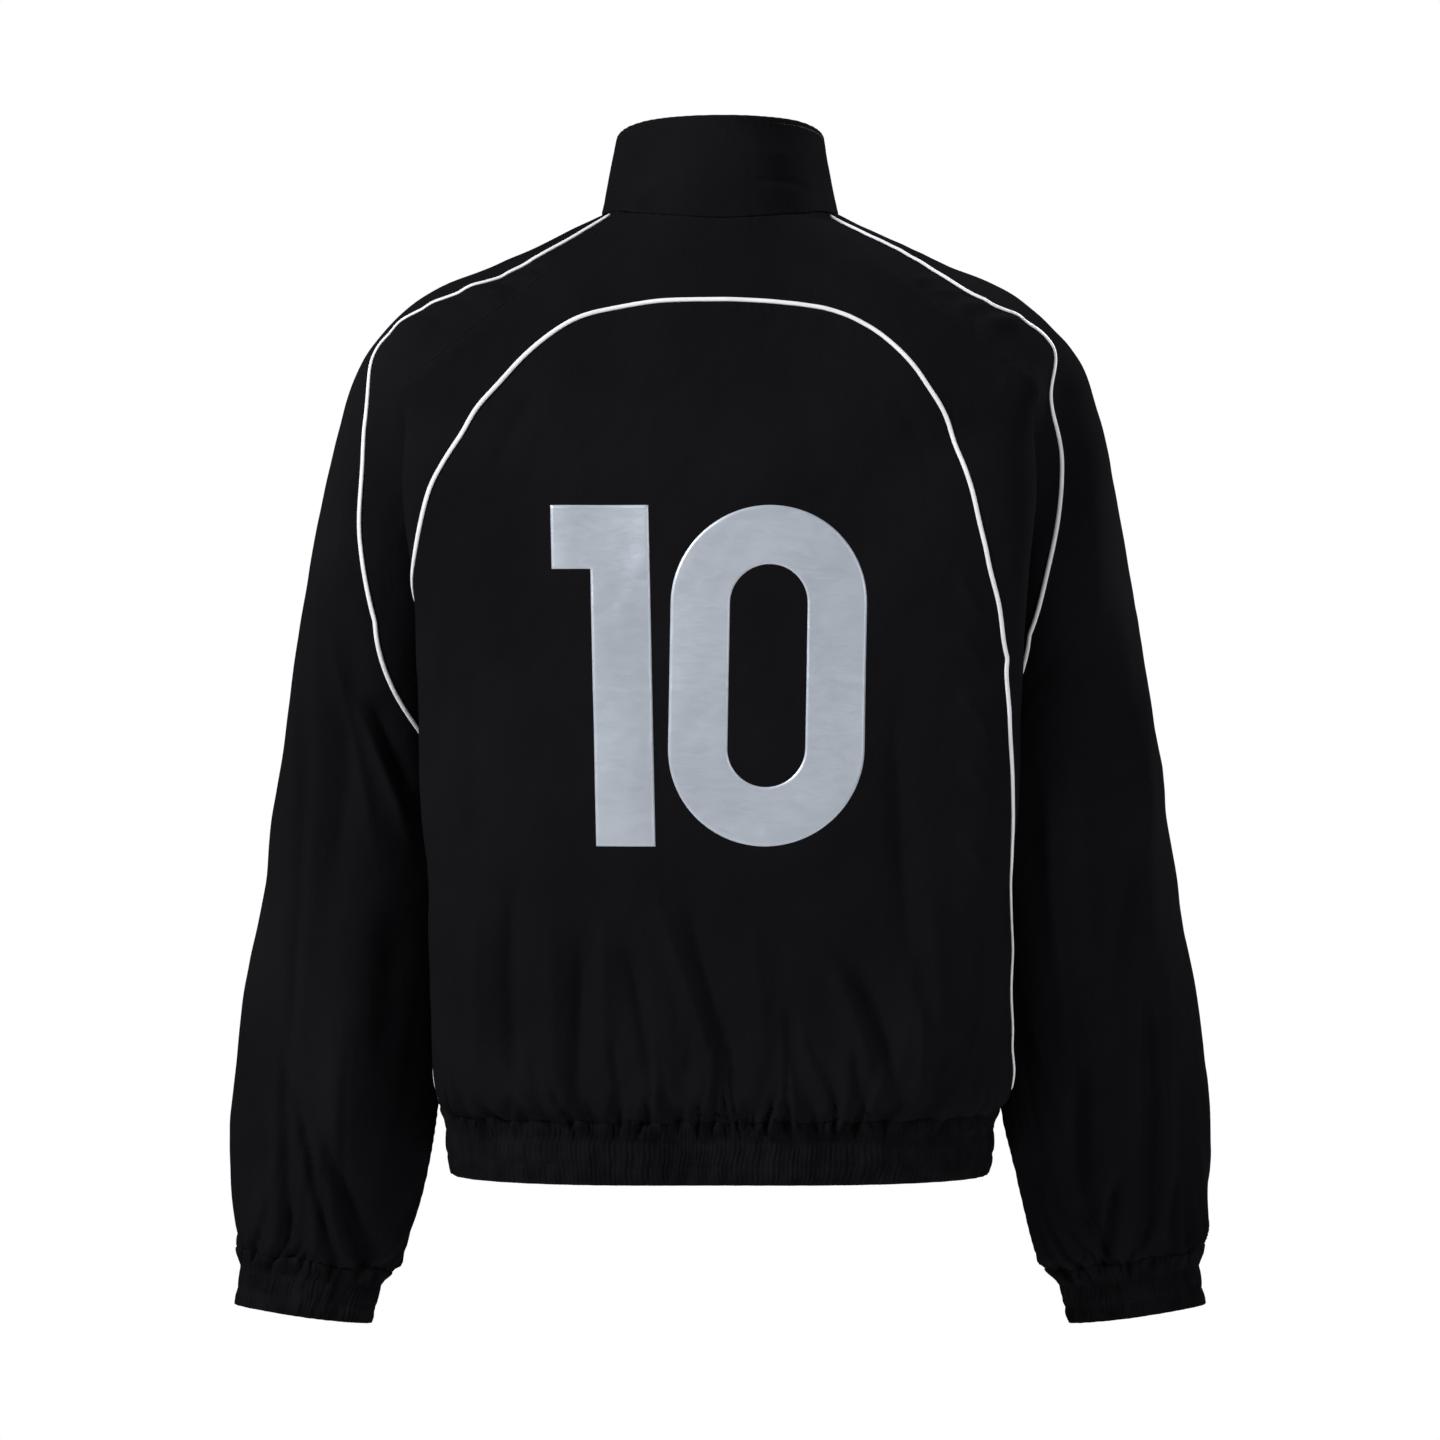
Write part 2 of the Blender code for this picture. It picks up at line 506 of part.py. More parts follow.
def square_to(axis, share, normal):
    """Normals turned square to an axis by a share, so that a wall's end stays in the plane of its seam."""
    axis = unit(np.array(axis))
    return unit(normal - share[:, None] * (normal @ axis)[:, None] * axis)


def laid(surface, gathers, last_row, end_axis, side=1):
    """A function of (u, row) that gives the folded cloth's outer points and its outward normals.

    Over the last row and a half the normals turn square to end_axis, which points out of the last seam.
    side -1 gives the mirror image of a surface made on the +X side.
    """
    step = 1e-3

    def place(u, row):
        u = np.asarray(u, float)
        row = np.asarray(row, float)
        point = surface(u, row)
        across = surface(u + step, row) - surface(u - step, row)
        down = surface(u, row + step) - surface(u, row - step)
        normal = square_to(end_axis, smoothstep((row - last_row) / 1.5 + 1.0), unit(np.cross(across, down)))
        mirror = np.array((side, 1.0, 1.0))
        height = gathers(point * mirror, u, row) + fold_height(point * mirror, normal * mirror)
        return (point + normal * height[:, None]) * mirror, normal * mirror

    return place


def trunk_gathers(point, u, row):
    return hem_gathers(point)


def sleeve_gathers(point, u, row):
    return cuff_gathers(u, row)


BACK = laid(back_surface, trunk_gathers, HEM_ROW, DOWN)
FRONT = {side: laid(front_surface, trunk_gathers, HEM_ROW, DOWN, side) for side in (1, -1)}
SLEEVE_CLOTH = {side: laid(sleeve_surface, sleeve_gathers, CUFF_ROW, CUFF_STEP, side) for side in (1, -1)}

# ---------------------------------------------------------------- meshes


def material(name, colour, roughness, metallic=0.0):
    made = bpy.data.materials.new(name)
    made.use_nodes = True
    shader = made.node_tree.nodes["Principled BSDF"]
    shader.inputs["Base Color"].default_value = colour + (1.0,)
    shader.inputs["Roughness"].default_value = roughness
    shader.inputs["Metallic"].default_value = metallic
    return made


def new_object(name, points, faces, finish, origin=(0.0, 0.0, 0.0), smooth=True):
    """An object with its origin at a world point, from world points and faces, facing outwards."""
    mesh = bpy.data.meshes.new(name)
    mesh.from_pydata([tuple(p) for p in np.asarray(points) - origin], [], faces)
    work = bmesh.new()
    work.from_mesh(mesh)
    bmesh.ops.recalc_face_normals(work, faces=work.faces)
    work.to_mesh(mesh)
    work.free()
    mesh.materials.append(finish)
    if smooth:
        mesh.shade_smooth()
        mesh.set_sharp_from_angle(angle=math.radians(40.0))
    made = bpy.data.objects.new(name, mesh)
    made.location = origin
    bpy.context.scene.collection.objects.link(made)
    return made


def strip(first, second):
    """Triangles between two lines of points, of any two lengths, each time over the shorter diagonal.

    A triangle is three pairs (line, number): line 0 is the first and 1 the second.
    """
    faces = []
    i = j = 0
    while i < len(first) - 1 or j < len(second) - 1:
        if j == len(second) - 1:
            along_first = True
        elif i == len(first) - 1:
            along_first = False
        else:
            over_first = np.linalg.norm(first[i + 1] - second[j])
            along_first = over_first <= np.linalg.norm(first[i] - second[j + 1])
        if along_first:
            faces.append(((0, i), (1, j), (0, i + 1)))
            i += 1
        else:
            faces.append(((0, i), (1, j), (1, j + 1)))
            j += 1
    return faces


def pulled_in(lines):
    """Lines of points with all four edges drawn half a seam's gap inwards."""
    drawn = []
    for k, line in enumerate(lines):
        line = line.copy()
        if k in (0, len(lines) - 1):
            beside = lines[1] if k == 0 else lines[-2]
            spread = np.linspace(0.0, 1.0, len(line))
            near = np.stack([np.interp(spread, np.linspace(0.0, 1.0, len(beside)), beside[:, i])
                             for i in range(3)], axis=-1)
            line += unit(near - line) * SEAM / 2
        drawn.append(line)
    for line, whole in zip(drawn, lines):
        line[0] += unit(whole[1] - whole[0]) * SEAM / 2
        line[-1] += unit(whole[-2] - whole[-1]) * SEAM / 2
    return drawn


def cloth(name, lines, place, finish, wall=WALL, raised=None):
    """A closed wall of cloth over lines of (u, row) values: outer side, inner side and the edges between.

    raised gives an extra height of the outer side alone, for ribs.
    """
    outer, inner = [], []
    for u, row in lines:
        u, row = np.broadcast_arrays(np.asarray(u, float), np.asarray(row, float))
        point, normal = place(u, row)
        extra = 0.0 if raised is None else raised(u, row)[:, None]
        outer.append(point + normal * extra)
        inner.append(point - normal * wall)
    outer = pulled_in(outer)
    inner = pulled_in(inner)
    sizes = [len(line) for line in outer]
    total = sum(sizes)
    starts = np.concatenate(([0], np.cumsum(sizes)))
    out_ids = [list(range(starts[k], starts[k + 1])) for k in range(len(sizes))]
    in_ids = [[i + total for i in line] for line in out_ids]
    faces = []
    for k in range(len(sizes) - 1):
        for corners in strip(outer[k], outer[k + 1]):
            faces.append([out_ids[k + line][i] for line, i in corners])
            faces.append([in_ids[k + line][i] for line, i in corners[::-1]])
    rim = (out_ids[0] + [line[-1] for line in out_ids[1:-1]] + out_ids[-1][::-1]
           + [line[0] for line in out_ids[-2:0:-1]])
    points = np.concatenate(outer + inner)
    slope = points @ EDGE_LEAN
    for a, b in zip(rim, rim[1:] + rim[:1]):
        if slope[a] > slope[b]:
            faces += [(a, b, b + total), (a, b + total, a + total)]
        else:
            faces += [(a, b, a + total), (b, b + total, a + total)]
    return new_object(name, points, faces, finish)


def piping(name, point, normal, finish):
    """A piping along a seam: a D-shaped bead that lies just over the cloth."""
    ahead = unit(np.gradient(point, axis=0))
    beside = unit(np.cross(ahead, normal))
    up = np.cross(beside, ahead)
    rings = [point + beside * across * PIPING_WIDTH / 2 + up * (PIPING_LIFT + rise * PIPING_HEIGHT)
             for across, rise in PIPING_SECTION]
    count = len(rings)
    points = np.stack(rings, axis=1).reshape(-1, 3)
    faces = []
    for k in range(len(point) - 1):
        for i in range(count):
            j = (i + 1) % count
            a, b = k * count + i, k * count + j
            faces += [(a, b, b + count), (a, b + count, a + count)]
    faces += [tuple(range(count)), tuple(range(len(points) - count, len(points)))[::-1]]
    return new_object(name, points, faces, finish)


# ---------------------------------------------------------------- where the lines of the pieces run


def arch_curve():
    """The arch as dense (u, row) points, from the +X hem to the -X hem."""
    return spline_down(ARCH, np.linspace(0.0, len(ARCH) - 1.0, 1201))


def arch_leg(row, side):
    """u of the arch's leg at the given rows, on one side."""
    curve = arch_curve()
    half = curve[curve[:, 0] > 0] if side > 0 else curve[curve[:, 0] < 0][::-1]
    return np.interp(-np.asarray(row), -half[:, 1], half[:, 0])


def arch_top(count):
    """count + 1 points (u, row) over the arch between its legs at row ARCH_SHOULDER, evenly spaced."""
    curve = arch_curve()
    curve = curve[curve[:, 1] <= ARCH_SHOULDER]
    place = BACK(curve[:, 0], curve[:, 1])[0]
    reach = np.concatenate(([0.0], np.cumsum(np.linalg.norm(np.diff(place, axis=0), axis=1))))
    even = np.linspace(0.0, reach[-1], count + 1)
    u, row = (np.interp(even, reach, curve[:, i]) for i in (0, 1))
    u[[0, -1]] = arch_leg(ARCH_SHOULDER, 1), arch_leg(ARCH_SHOULDER, -1)
    row[[0, -1]] = ARCH_SHOULDER
    return u, row


def spread(start, end, step):
    """Values from start to end, both among them, with the multiples of step that keep clear of the ends."""
    low, high = min(start, end) + step / 2, max(start, end) - step / 2
    inside = np.arange(math.ceil(low / step), math.floor(high / step) + 1) * step
    return np.concatenate(([start], inside if start < end else inside[::-1], [end]))


def hem_points(u_from, u_to, place):
    """How many points a line over the hem needs between two values of u, to show its gathers."""
    ends = place(np.array((u_from, u_to)), np.full(2, HEM_LINES[-1]))[0]
    around = np.arctan2(ends[:, 0], ends[:, 1])
    turn = abs((around[1] - around[0] + math.pi) % (2.0 * math.pi) - math.pi)
    return max(3, round(turn / (2.0 * math.pi) * HEM_GATHERS * POINTS_A_GATHER) + 1)


def back_centre(finish):
    """The back's middle panel, inside the arch."""
    u_top, row_top = arch_top(ARCH_TOP_COUNT)
    lines = [(u_top, row_top)]
    rows = [row for row in YOKE_LINES if row > ARCH_SHOULDER] + list(TRUNK_LINES)
    for row in rows:
        left, right = arch_leg(row, 1), arch_leg(row, -1)
        lines.append((spread(left, right, BACK_STEP), row))
    for row in HEM_LINES:
        left, right = arch_leg(row, 1), arch_leg(row, -1)
        count = hem_points(0.0, left, BACK) + hem_points(right, 0.0, BACK)
        lines.append((np.linspace(left, right, count), row))
    lines = [(u[::-1], row if np.isscalar(row) else row[::-1]) for u, row in lines]
    return cloth("back_centre", lines, BACK, finish)


def back_outer(finish):
    """The back's outer panel: the yoke over the arch and both sides, one horseshoe."""
    leg_rows = [row for row in YOKE_LINES if row >= ARCH_SHOULDER] + list(TRUNK_LINES) + list(HEM_LINES)
    lines = {1: [], -1: []}
    for side in (1, -1):
        for row in leg_rows:
            leg = arch_leg(row, side)
            if row in HEM_LINES:
                level = np.linspace(leg, side, hem_points(leg, side, BACK))
            else:
                level = spread(leg, side, SIDE_STEP)
            lines[side].append((level, np.full(len(level), row)))
    u_top, row_top = arch_top(ARCH_TOP_COUNT)
    raglan = [row for row in YOKE_LINES if row <= ARCH_SHOULDER][::-1]
    u_out = [1.0] * len(raglan) + list(np.linspace(1.0, -1.0, NECK_COUNT + 1))[1:-1] + [-1.0] * len(raglan)
    row_out = raglan + [0.0] * (NECK_COUNT - 1) + raglan[::-1]
    top = []
    for a, b, c, d in list(zip(u_top, row_top, u_out, row_out))[1:-1]:
        part = np.linspace(0.0, 1.0, 7)
        top.append((a + (c - a) * part, b + (d - b) * part))
    return cloth("back_outer", lines[1][::-1] + top + lines[-1], BACK, finish)


def front(side, finish):
    """One front, from the raglan and side seams to the zip."""
    lines = [(np.linspace(0.0, 1.0, 9), row) for row in YOKE_LINES + TRUNK_LINES]
    count = hem_points(0.0, 1.0, FRONT[1])
    lines += [(np.linspace(0.0, 1.0, count), row) for row in HEM_LINES]
    return cloth("front_left" if side > 0 else "front_right", lines, FRONT[side], finish)


def piping_u(row, side):
    """u of the seam under a sleeve's piping."""
    table = np.array(SLEEVE_PIPING[side])[:, None]
    return np.where(np.asarray(row) > PIPING_END, 0.0, spline_down(table, row)[..., 0])


def sleeve(side, finish):
    """A sleeve's main piece, in front of the piping down to the seam, then all the way round."""
    lines = []
    for row in YOKE_LINES + SLEEVE_LINES:
        lines.append((spread(float(piping_u(row, side)), 1.0, SLEEVE_STEP), row))
    for row in CUFF_LINES:
        lines.append((np.linspace(0.0, 1.0, CUFF_GATHERS * POINTS_A_GATHER + 1), row))
    return cloth("sleeve_left" if side > 0 else "sleeve_right", lines, SLEEVE_CLOTH[side], finish)


def sleeve_back(side, finish):
    """The narrow piece between the back raglan seam and the piping, from the neck to the sleeve's seam."""
    rows = [row for row in YOKE_LINES + SLEEVE_LINES if row <= PIPING_END]
    lines = [(np.linspace(0.0, float(piping_u(row, side)), 5), row) for row in rows]
    return cloth("sleeve_back_left" if side > 0 else "sleeve_back_right", lines, SLEEVE_CLOTH[side], finish)


def back_piping(finish):
    """The piping over the arch seam, from hem to hem."""
    legs = [row for row in YOKE_LINES if row > ARCH_SHOULDER] + list(TRUNK_LINES) + list(HEM_LINES)
    legs[-1] -= 0.06
    u_top, row_top = arch_top(ARCH_TOP_COUNT)
    u = np.concatenate((arch_leg(legs, 1)[::-1], u_top, arch_leg(legs, -1)))
    row = np.concatenate((legs[::-1], row_top, legs))
    return piping("piping_back", *BACK(u, row), finish)


def sleeve_piping(side, finish):
    """The piping down the back of one sleeve."""
    row = np.array([0.15] + [row for row in YOKE_LINES + SLEEVE_LINES if 0 < row < PIPING_END])
    name = "piping_sleeve_left" if side > 0 else "piping_sleeve_right"
    return piping(name, *SLEEVE_CLOTH[side](piping_u(row, side), row), finish)


# ---------------------------------------------------------------- collar, hem band and cuffs


def joined(u, pieces):
    """Surface points where |u| from k to k + 1 reads piece k from 0 to 1; a negative u is the -X side."""
    size = np.abs(u)
    whole = np.clip(np.floor(size).astype(int), 0, len(pieces) - 1)
    point = np.stack([piece(size - k) for k, piece in enumerate(pieces)])[whole, np.arange(len(u))]
    return point * stack(np.where(u < 0, -1.0, 1.0), 1.0, 1.0)


def neck_line(u):
    """The neck seam: u from 0 at the middle of the back to 1 and 2 at the raglan seams and 3 at the zip."""
    row = np.zeros(len(u))
    surfaces = (back_surface, sleeve_surface, front_surface)
    return joined(u, [lambda v, surface=surface: surface(v, row) for surface in surfaces])


def collar_surface(u, row):
    """The stand collar: u as along the neck seam, row from -1 at its top edge to 0 at the seam."""
    base = neck_line(u)
    angle = np.arctan2(base[:, 0] / NECK_MIDDLE[0], (base[:, 1] - NECK_MIDDLE[2]) / NECK_MIDDLE[1])
    rise = np.array(COLLAR_RISE[:0:-1] + COLLAR_RISE)[:, None]
    half_width, half_depth, y_mid = COLLAR_TOP
    z_top = spline_down(rise, u + 3.0)[:, 0]
    top = stack(half_width * np.sin(angle), y_mid + half_depth * np.cos(angle), z_top)
    ease = np.where(top[:, 1] < y_mid, zip_ease(np.abs(top[:, 0])), 0.0)
    top[:, 0] += np.where(u < 0, -ease, ease)
    return base - (top - base) * row[:, None]


def hem_line(u):
    """The hem seam: u from 0 at the middle of the back to 1 at the side seam and 2 at the zip."""
    row = np.full(len(u), float(HEM_ROW))
    return joined(u, [lambda v: back_surface(v, row), lambda v: front_surface(v, row)])


def band_surface(u, row):
    """The hem band: u as along the hem seam, row from 15 at the seam to 16 at the lower edge."""
    down = row - HEM_ROW
    point = hem_line(u)
    out = HEM_BULGE * np.sin(math.pi * np.clip(down, 0.0, 1.0)) - HEM_TAPER * down ** 2
    spread = 1.0 + out / np.linalg.norm(point[:, :2], axis=1)
    return stack(point[:, 0] * spread, point[:, 1] * spread, point[:, 2] - HEM_HEIGHT * down)


def cuff_surface(u, row):
    """A cuff: u as round the sleeve, row from 17 at the seam to 18 at its end."""
    down = (row - CUFF_ROW)[:, None]
    axis = np.array(CUFF_STEP)
    ring = sleeve_surface(u, np.full(len(u), float(CUFF_ROW)))
    middle = np.array(SLEEVE[-1][:3])
    return middle + (ring - middle) * (1.0 - CUFF_TAPER * down) + axis / np.linalg.norm(axis) * CUFF_HEIGHT * down


def plain(surface, end_axis=None, side=1):
    """Outer points and normals of a surface with no gathers and no folds, the normals square to end_axis."""
    step = 1e-3
    mirror = np.array((side, 1.0, 1.0))

    def place(u, row):
        across = surface(u + step, row) - surface(u - step, row)
        down = surface(u, row + step) - surface(u, row - step)
        normal = unit(np.cross(across, down))
        if end_axis:
            normal = square_to(end_axis, np.ones(len(u)), normal)
        return surface(u, row) * mirror, normal * mirror

    return place


def collar(finish):
    """The stand collar, one band round the neck, open at the zip."""
    around = np.linspace(-3.0, 3.0, 3 * NECK_COUNT + 1)
    return cloth("collar", [(around, row) for row in COLLAR_LINES], plain(collar_surface), finish)


def hem_band(finish):
    """The elastic band round the hem, ribbed outside, open at the zip."""
    around = np.linspace(-2.0, 2.0, HEM_RIBS * POINTS_A_GATHER + 1)

    def ribs(u, row):
        return RIB_DEPTH * wave(HEM_RIBS * (u + 2.0) / 4.0)

    lines = [(around, row) for row in (HEM_ROW, HEM_ROW + 1.0)]
    return cloth("hem_band", lines, plain(band_surface, DOWN), finish, raised=ribs)


def cuff(side, finish):
    """The elastic cuff of one sleeve, ribbed outside."""
    around = np.linspace(0.0, 1.0, CUFF_RIBS * POINTS_A_GATHER + 1)

    def ribs(u, row):
        return RIB_DEPTH * wave(CUFF_RIBS * u)

    lines = [(around, row) for row in (CUFF_ROW, CUFF_ROW + 1.0)]
    name = "cuff_left" if side > 0 else "cuff_right"
    return cloth(name, lines, plain(cuff_surface, CUFF_STEP, side), finish, raised=ribs)


# ---------------------------------------------------------------- zip


def zip_path(lowest=1.0):
    """Front edge of the +X side from the collar's top down to the hem: (surface, u, row) of each point.

    lowest is how far down the hem band the path ends.
    """
    path = [(collar_surface, 3.0, row) for row in COLLAR_LINES]
    path += [(front_surface, 1.0, row) for row in YOKE_LINES + TRUNK_LINES + HEM_LINES[:-1]]
    path += [(band_surface, 2.0, HEM_ROW + part) for part in (0.0, lowest)]
    return path


def zip_tape(side, finish):
    """The tape behind one front edge, from the collar's top to the hem's lower edge."""
    outer, inner = [], []
    for surface, edge, row in zip_path():
        place = plain(surface)
        ends = surface(np.array((edge, edge - 0.01)), np.full(2, row))
        speed = np.linalg.norm(ends[0] - ends[1]) / 0.01
        u = edge - np.array((0.0, 1.0)) * TAPE_WIDTH / speed
        point, normal = place(u, np.full(2, row))
        point = np.concatenate((point[:1] * (0.0, 1.0, 1.0), point))
        normal = np.concatenate((normal[:1], normal))
        outer.append(point - normal * (WALL + TAPE_LIFT))
        inner.append(point - normal * (WALL + TAPE_LIFT + TAPE_WALL))
    outer, inner = pulled_in(outer), pulled_in(inner)
    lines = dict(enumerate(zip(outer, inner)))
    mirror = np.array((side, 1.0, 1.0))

    def place_tape(u, row):
        first, second = lines[int(row[0])]
        return first * mirror, unit(first - second) * mirror

    name = "zip_tape_left" if side > 0 else "zip_tape_right"
    return cloth(name, [(np.arange(3.0), k) for k in lines], place_tape, finish, wall=TAPE_WALL)


def zip_middle(lowest=1.0):
    """Points down the middle of the zip at the cloth's outer side, and the way forward at each."""
    points, normals = [], []
    for surface, edge, row in zip_path(lowest):
        point, normal = plain(surface)(np.array((edge,)), np.array((row,)))
        points.append(point[0] * (0.0, 1.0, 1.0))
        normals.append(unit(normal[0] * (0.0, 1.0, 1.0)))
    return np.array(points), np.array(normals)


def zip_chain(finish):
    """The closed chain between the front edges; its teeth are one strip here."""
    point, normal = zip_middle(1.0 - CHAIN_END / HEM_HEIGHT)
    point[0, 2] -= CHAIN_TOP
    front_face = point + normal * CHAIN_FRONT
    back_face = front_face - normal * CHAIN_THICKNESS
    half = np.array((CHAIN_WIDTH / 2, 0.0, 0.0))
    rings = np.stack((front_face - half, front_face + half, back_face + half, back_face - half), axis=1)
    faces = []
    for k in range(len(point) - 1):
        for i in range(4):
            a, b = 4 * k + i, 4 * k + (i + 1) % 4
            faces += [(a, b, b + 4), (a, b + 4, a + 4)]
    last = 4 * len(point)
    faces += [(0, 1, 2, 3), (last - 1, last - 2, last - 3, last - 4)]
    return new_object("zip_chain", rings.reshape(-1, 3), faces, finish, smooth=False)


def block(name, size, middle, finish, bevel=0.0, origin=None):
    """A box of a given size round a middle, with its edges bevelled."""
    mesh = bpy.data.meshes.new(name)
    work = bmesh.new()
    bmesh.ops.create_cube(work, size=1.0)
    shift = np.zeros(3) if origin is None else np.array(middle) - np.array(origin)
    for vert in work.verts:
        vert.co = [vert.co[i] * size[i] + shift[i] for i in range(3)]
    if bevel:
        bmesh.ops.bevel(work, geom=work.edges[:], offset=bevel, segments=2, affect="EDGES", profile=0.5)
    work.to_mesh(mesh)
    work.free()
    mesh.materials.append(finish)
    made = bpy.data.objects.new(name, mesh)
    made.location = middle if origin is None else origin
    bpy.context.scene.collection.objects.link(made)
    return made


def boolean(target, tool, operation):
    """Adds or cuts away a tool's shape; the tool itself is only a guide."""
    tool.hide_render = True
    tool.display_type = "WIRE"
    modifier = target.modifiers.new(tool.name, "BOOLEAN")
    modifier.object = tool
    modifier.operation = operation
    modifier.solver = "EXACT"


def zip_slider_and_pull(finish):
    """The slider near the collar's top, with a bridge that the pull's bar hangs in."""
    y_cloth, z = collar_surface(np.array((3.0,)), np.array((SLIDER_ROW,)))[0, 1:]
    body_front = y_cloth - CHAIN_FRONT - SLIDER_GAP - SLIDER_SIZE[1]
    body_y = body_front + SLIDER_SIZE[1] / 2
    slider = block("zip_slider", SLIDER_SIZE, (0.0, body_y, z), finish, bevel=SLIDER_BEVEL)
    bridge_y = body_front - BRIDGE_SIZE[1] / 2 + BRIDGE_ROOT
    bridge = block("guide_bridge", BRIDGE_SIZE, (0.0, bridge_y, z), finish, bevel=BRIDGE_BEVEL)
    window_y = body_front - BRIDGE_WINDOW[1] / 2
    window = block("guide_bridge_window", BRIDGE_WINDOW, (0.0, window_y, z), finish)
    boolean(slider, bridge, "UNION")
    boolean(slider, window, "DIFFERENCE")
    bar = (0.0, window_y, z - BRIDGE_WINDOW[2] / 2 + PULL_BAR / 2 + BAR_REST)
    middle = (0.0, bar[1], bar[2] + PULL_BAR / 2 - PULL_SIZE[2] / 2)
    pull = block("zip_pull", PULL_SIZE, middle, finish, bevel=PULL_BEVEL, origin=bar)
    cut_z = bar[2] - PULL_BAR / 2 - PULL_WINDOW[2] / 2
    cut = block("guide_pull_window", PULL_WINDOW, (0.0, bar[1], cut_z), finish)
    boolean(pull, cut, "DIFFERENCE")


def zip_box(finish):
    """The retaining box at the lower end of the zip."""
    low = zip_middle()[0][-1]
    middle = (0.0, low[1] - BOX_SIZE[1] / 2 + BOX_BACK, low[2] + BOX_SIZE[2] / 2 + BOX_LIFT)
    return block("zip_box", BOX_SIZE, middle, finish, bevel=BOX_BEVEL)


# ---------------------------------------------------------------- the jacket


def build():
    for old in list(bpy.data.objects):
        bpy.data.objects.remove(old)
    black = material("black_cloth", (0.012, 0.012, 0.014), 0.55)
    band = material("black_elastic", (0.011, 0.011, 0.012), 0.65)
    white = material("white_piping", (0.68, 0.68, 0.72), 0.45)
    tape = material("black_tape", (0.010, 0.010, 0.011), 0.80)
    teeth = material("black_teeth", (0.016, 0.016, 0.017), 0.40)
    metal = material("dark_metal", (0.060, 0.060, 0.065), 0.35, 0.9)
    back_centre(black)
    back_outer(black)
    for side in (1, -1):
        front(side, black)
        sleeve(side, black)
        sleeve_back(side, black)
        sleeve_piping(side, white)
        cuff(side, band)
        zip_tape(side, tape)
    back_piping(white)
    collar(black)
    hem_band(band)
    zip_chain(teeth)
    zip_slider_and_pull(metal)
    zip_box(metal)


build()
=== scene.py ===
"""Track jacket: its cloth, sewing, zip and number in their finished look, over the jacket's rigid frame.

Metres, +Z up. The front faces -Y, the back +Y, and +X is the wearer's left.
The cloth follows the frame's net of sections: rows 0 to 8 run round the whole jacket from the neck seam to
the underarm, and from row 8 down the trunk and each sleeve have rows of their own. Each panel is a fine grid
on that net, lifted by its gathers, folds and seams.
"""
import math

import bpy
import numpy as np
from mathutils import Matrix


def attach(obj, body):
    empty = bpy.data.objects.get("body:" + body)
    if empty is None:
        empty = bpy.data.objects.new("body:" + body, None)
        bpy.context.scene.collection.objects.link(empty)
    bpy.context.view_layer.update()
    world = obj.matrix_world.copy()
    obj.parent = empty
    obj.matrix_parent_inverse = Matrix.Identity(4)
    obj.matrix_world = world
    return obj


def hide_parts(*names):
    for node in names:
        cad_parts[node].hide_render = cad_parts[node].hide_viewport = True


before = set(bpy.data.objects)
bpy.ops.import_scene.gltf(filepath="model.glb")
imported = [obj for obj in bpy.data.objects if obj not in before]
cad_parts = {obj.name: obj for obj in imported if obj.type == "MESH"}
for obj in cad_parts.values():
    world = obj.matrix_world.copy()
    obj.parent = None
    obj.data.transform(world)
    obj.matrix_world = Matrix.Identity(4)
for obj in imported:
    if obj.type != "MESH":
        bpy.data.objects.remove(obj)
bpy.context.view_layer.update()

# ---------------------------------------------------------------- driving sizes

WALL = 0.0012              # cloth, with its turned seam allowances
SEAM_ROLL = 0.0005         # radius over which a panel's edge turns down into its seam
PUCKER_DEPTH = 0.00045     # of the small waves that a seam's thread draws into the cloth
PUCKER_PITCH = 0.0075
PUCKER_REACH = 0.010
WEAR_REACH = 0.0022        # width of the worn cloth along an edge

PIPING_WIDTH = 0.0030
PIPING_HEIGHT = 0.0019
PIPING_LIFT = -0.0005      # from the cloth's outer side to the piping's underside, in the seam's valley
PIPING_SIDES = 12
PIPING_STEP = 0.0028

COLLAR_TOP = (0.0695, 0.0775, -0.0075)     # half width, half depth and y of the middle of the top edge
# Height of the collar's top edge over the origin at u 0 to 3: the back, two raglan seams and the zip.
COLLAR_RISE = (0.0584, 0.0570, 0.0400, -0.0070)
NECK_MIDDLE = (0.0780, 0.0810, -0.0055)    # the same of the neck seam
NECK_GIRTH = 0.47
COLLAR_HEIGHT = 0.067
COLLAR_WALL = 0.0024
COLLAR_ROLL = 0.0014       # radius of the collar's folded top edge

HEM_GIRTH = 0.94
HEM_HEIGHT = 0.041
HEM_BULGE = 0.0012         # of the band's middle over its edges
HEM_TAPER = 0.0020         # the band's lower edge lies this far inside its seam
HEM_RIBS = 320             # fine pleats that the elastic draws round the hem
CUFF_GIRTH = 0.225
CUFF_HEIGHT = 0.038
CUFF_STEP = (0.0078, -0.0010, -0.0355)     # the way a cuff runs down from its seam
CUFF_TAPER = 0.03          # share by which a cuff's end is narrower than its seam
CUFF_RIBS = 74
RIB_DEPTH = 0.0014
COARSE_RIB_DEPTH = 0.0007  # of the wider waves under the pleats
BAND_WALL = 0.0016
BAND_ROLL = 0.0005
ALLOWANCE = 0.0036         # of a band's seam, turned in behind the cloth over it
ALLOWANCE_DEPTH = 0.0026
BAND_ROWS = (0.31, 0.70)   # where the elastic is sewn down, as shares of a band's height
BAND_ROW_DEPTH = 0.0004
BAND_ROW_WIDTH = 0.0016

FOLD_RISE = 1.25           # the folds' heights below are multiplied by this
FOLD_CRISPNESS = 1.45      # 2 gives a fold a round crest, 1 a sharp one

RUMPLE_DEPTHS = (0.0012, 0.00032, 0.00018)     # of the cloth's slow, quick and fine waves

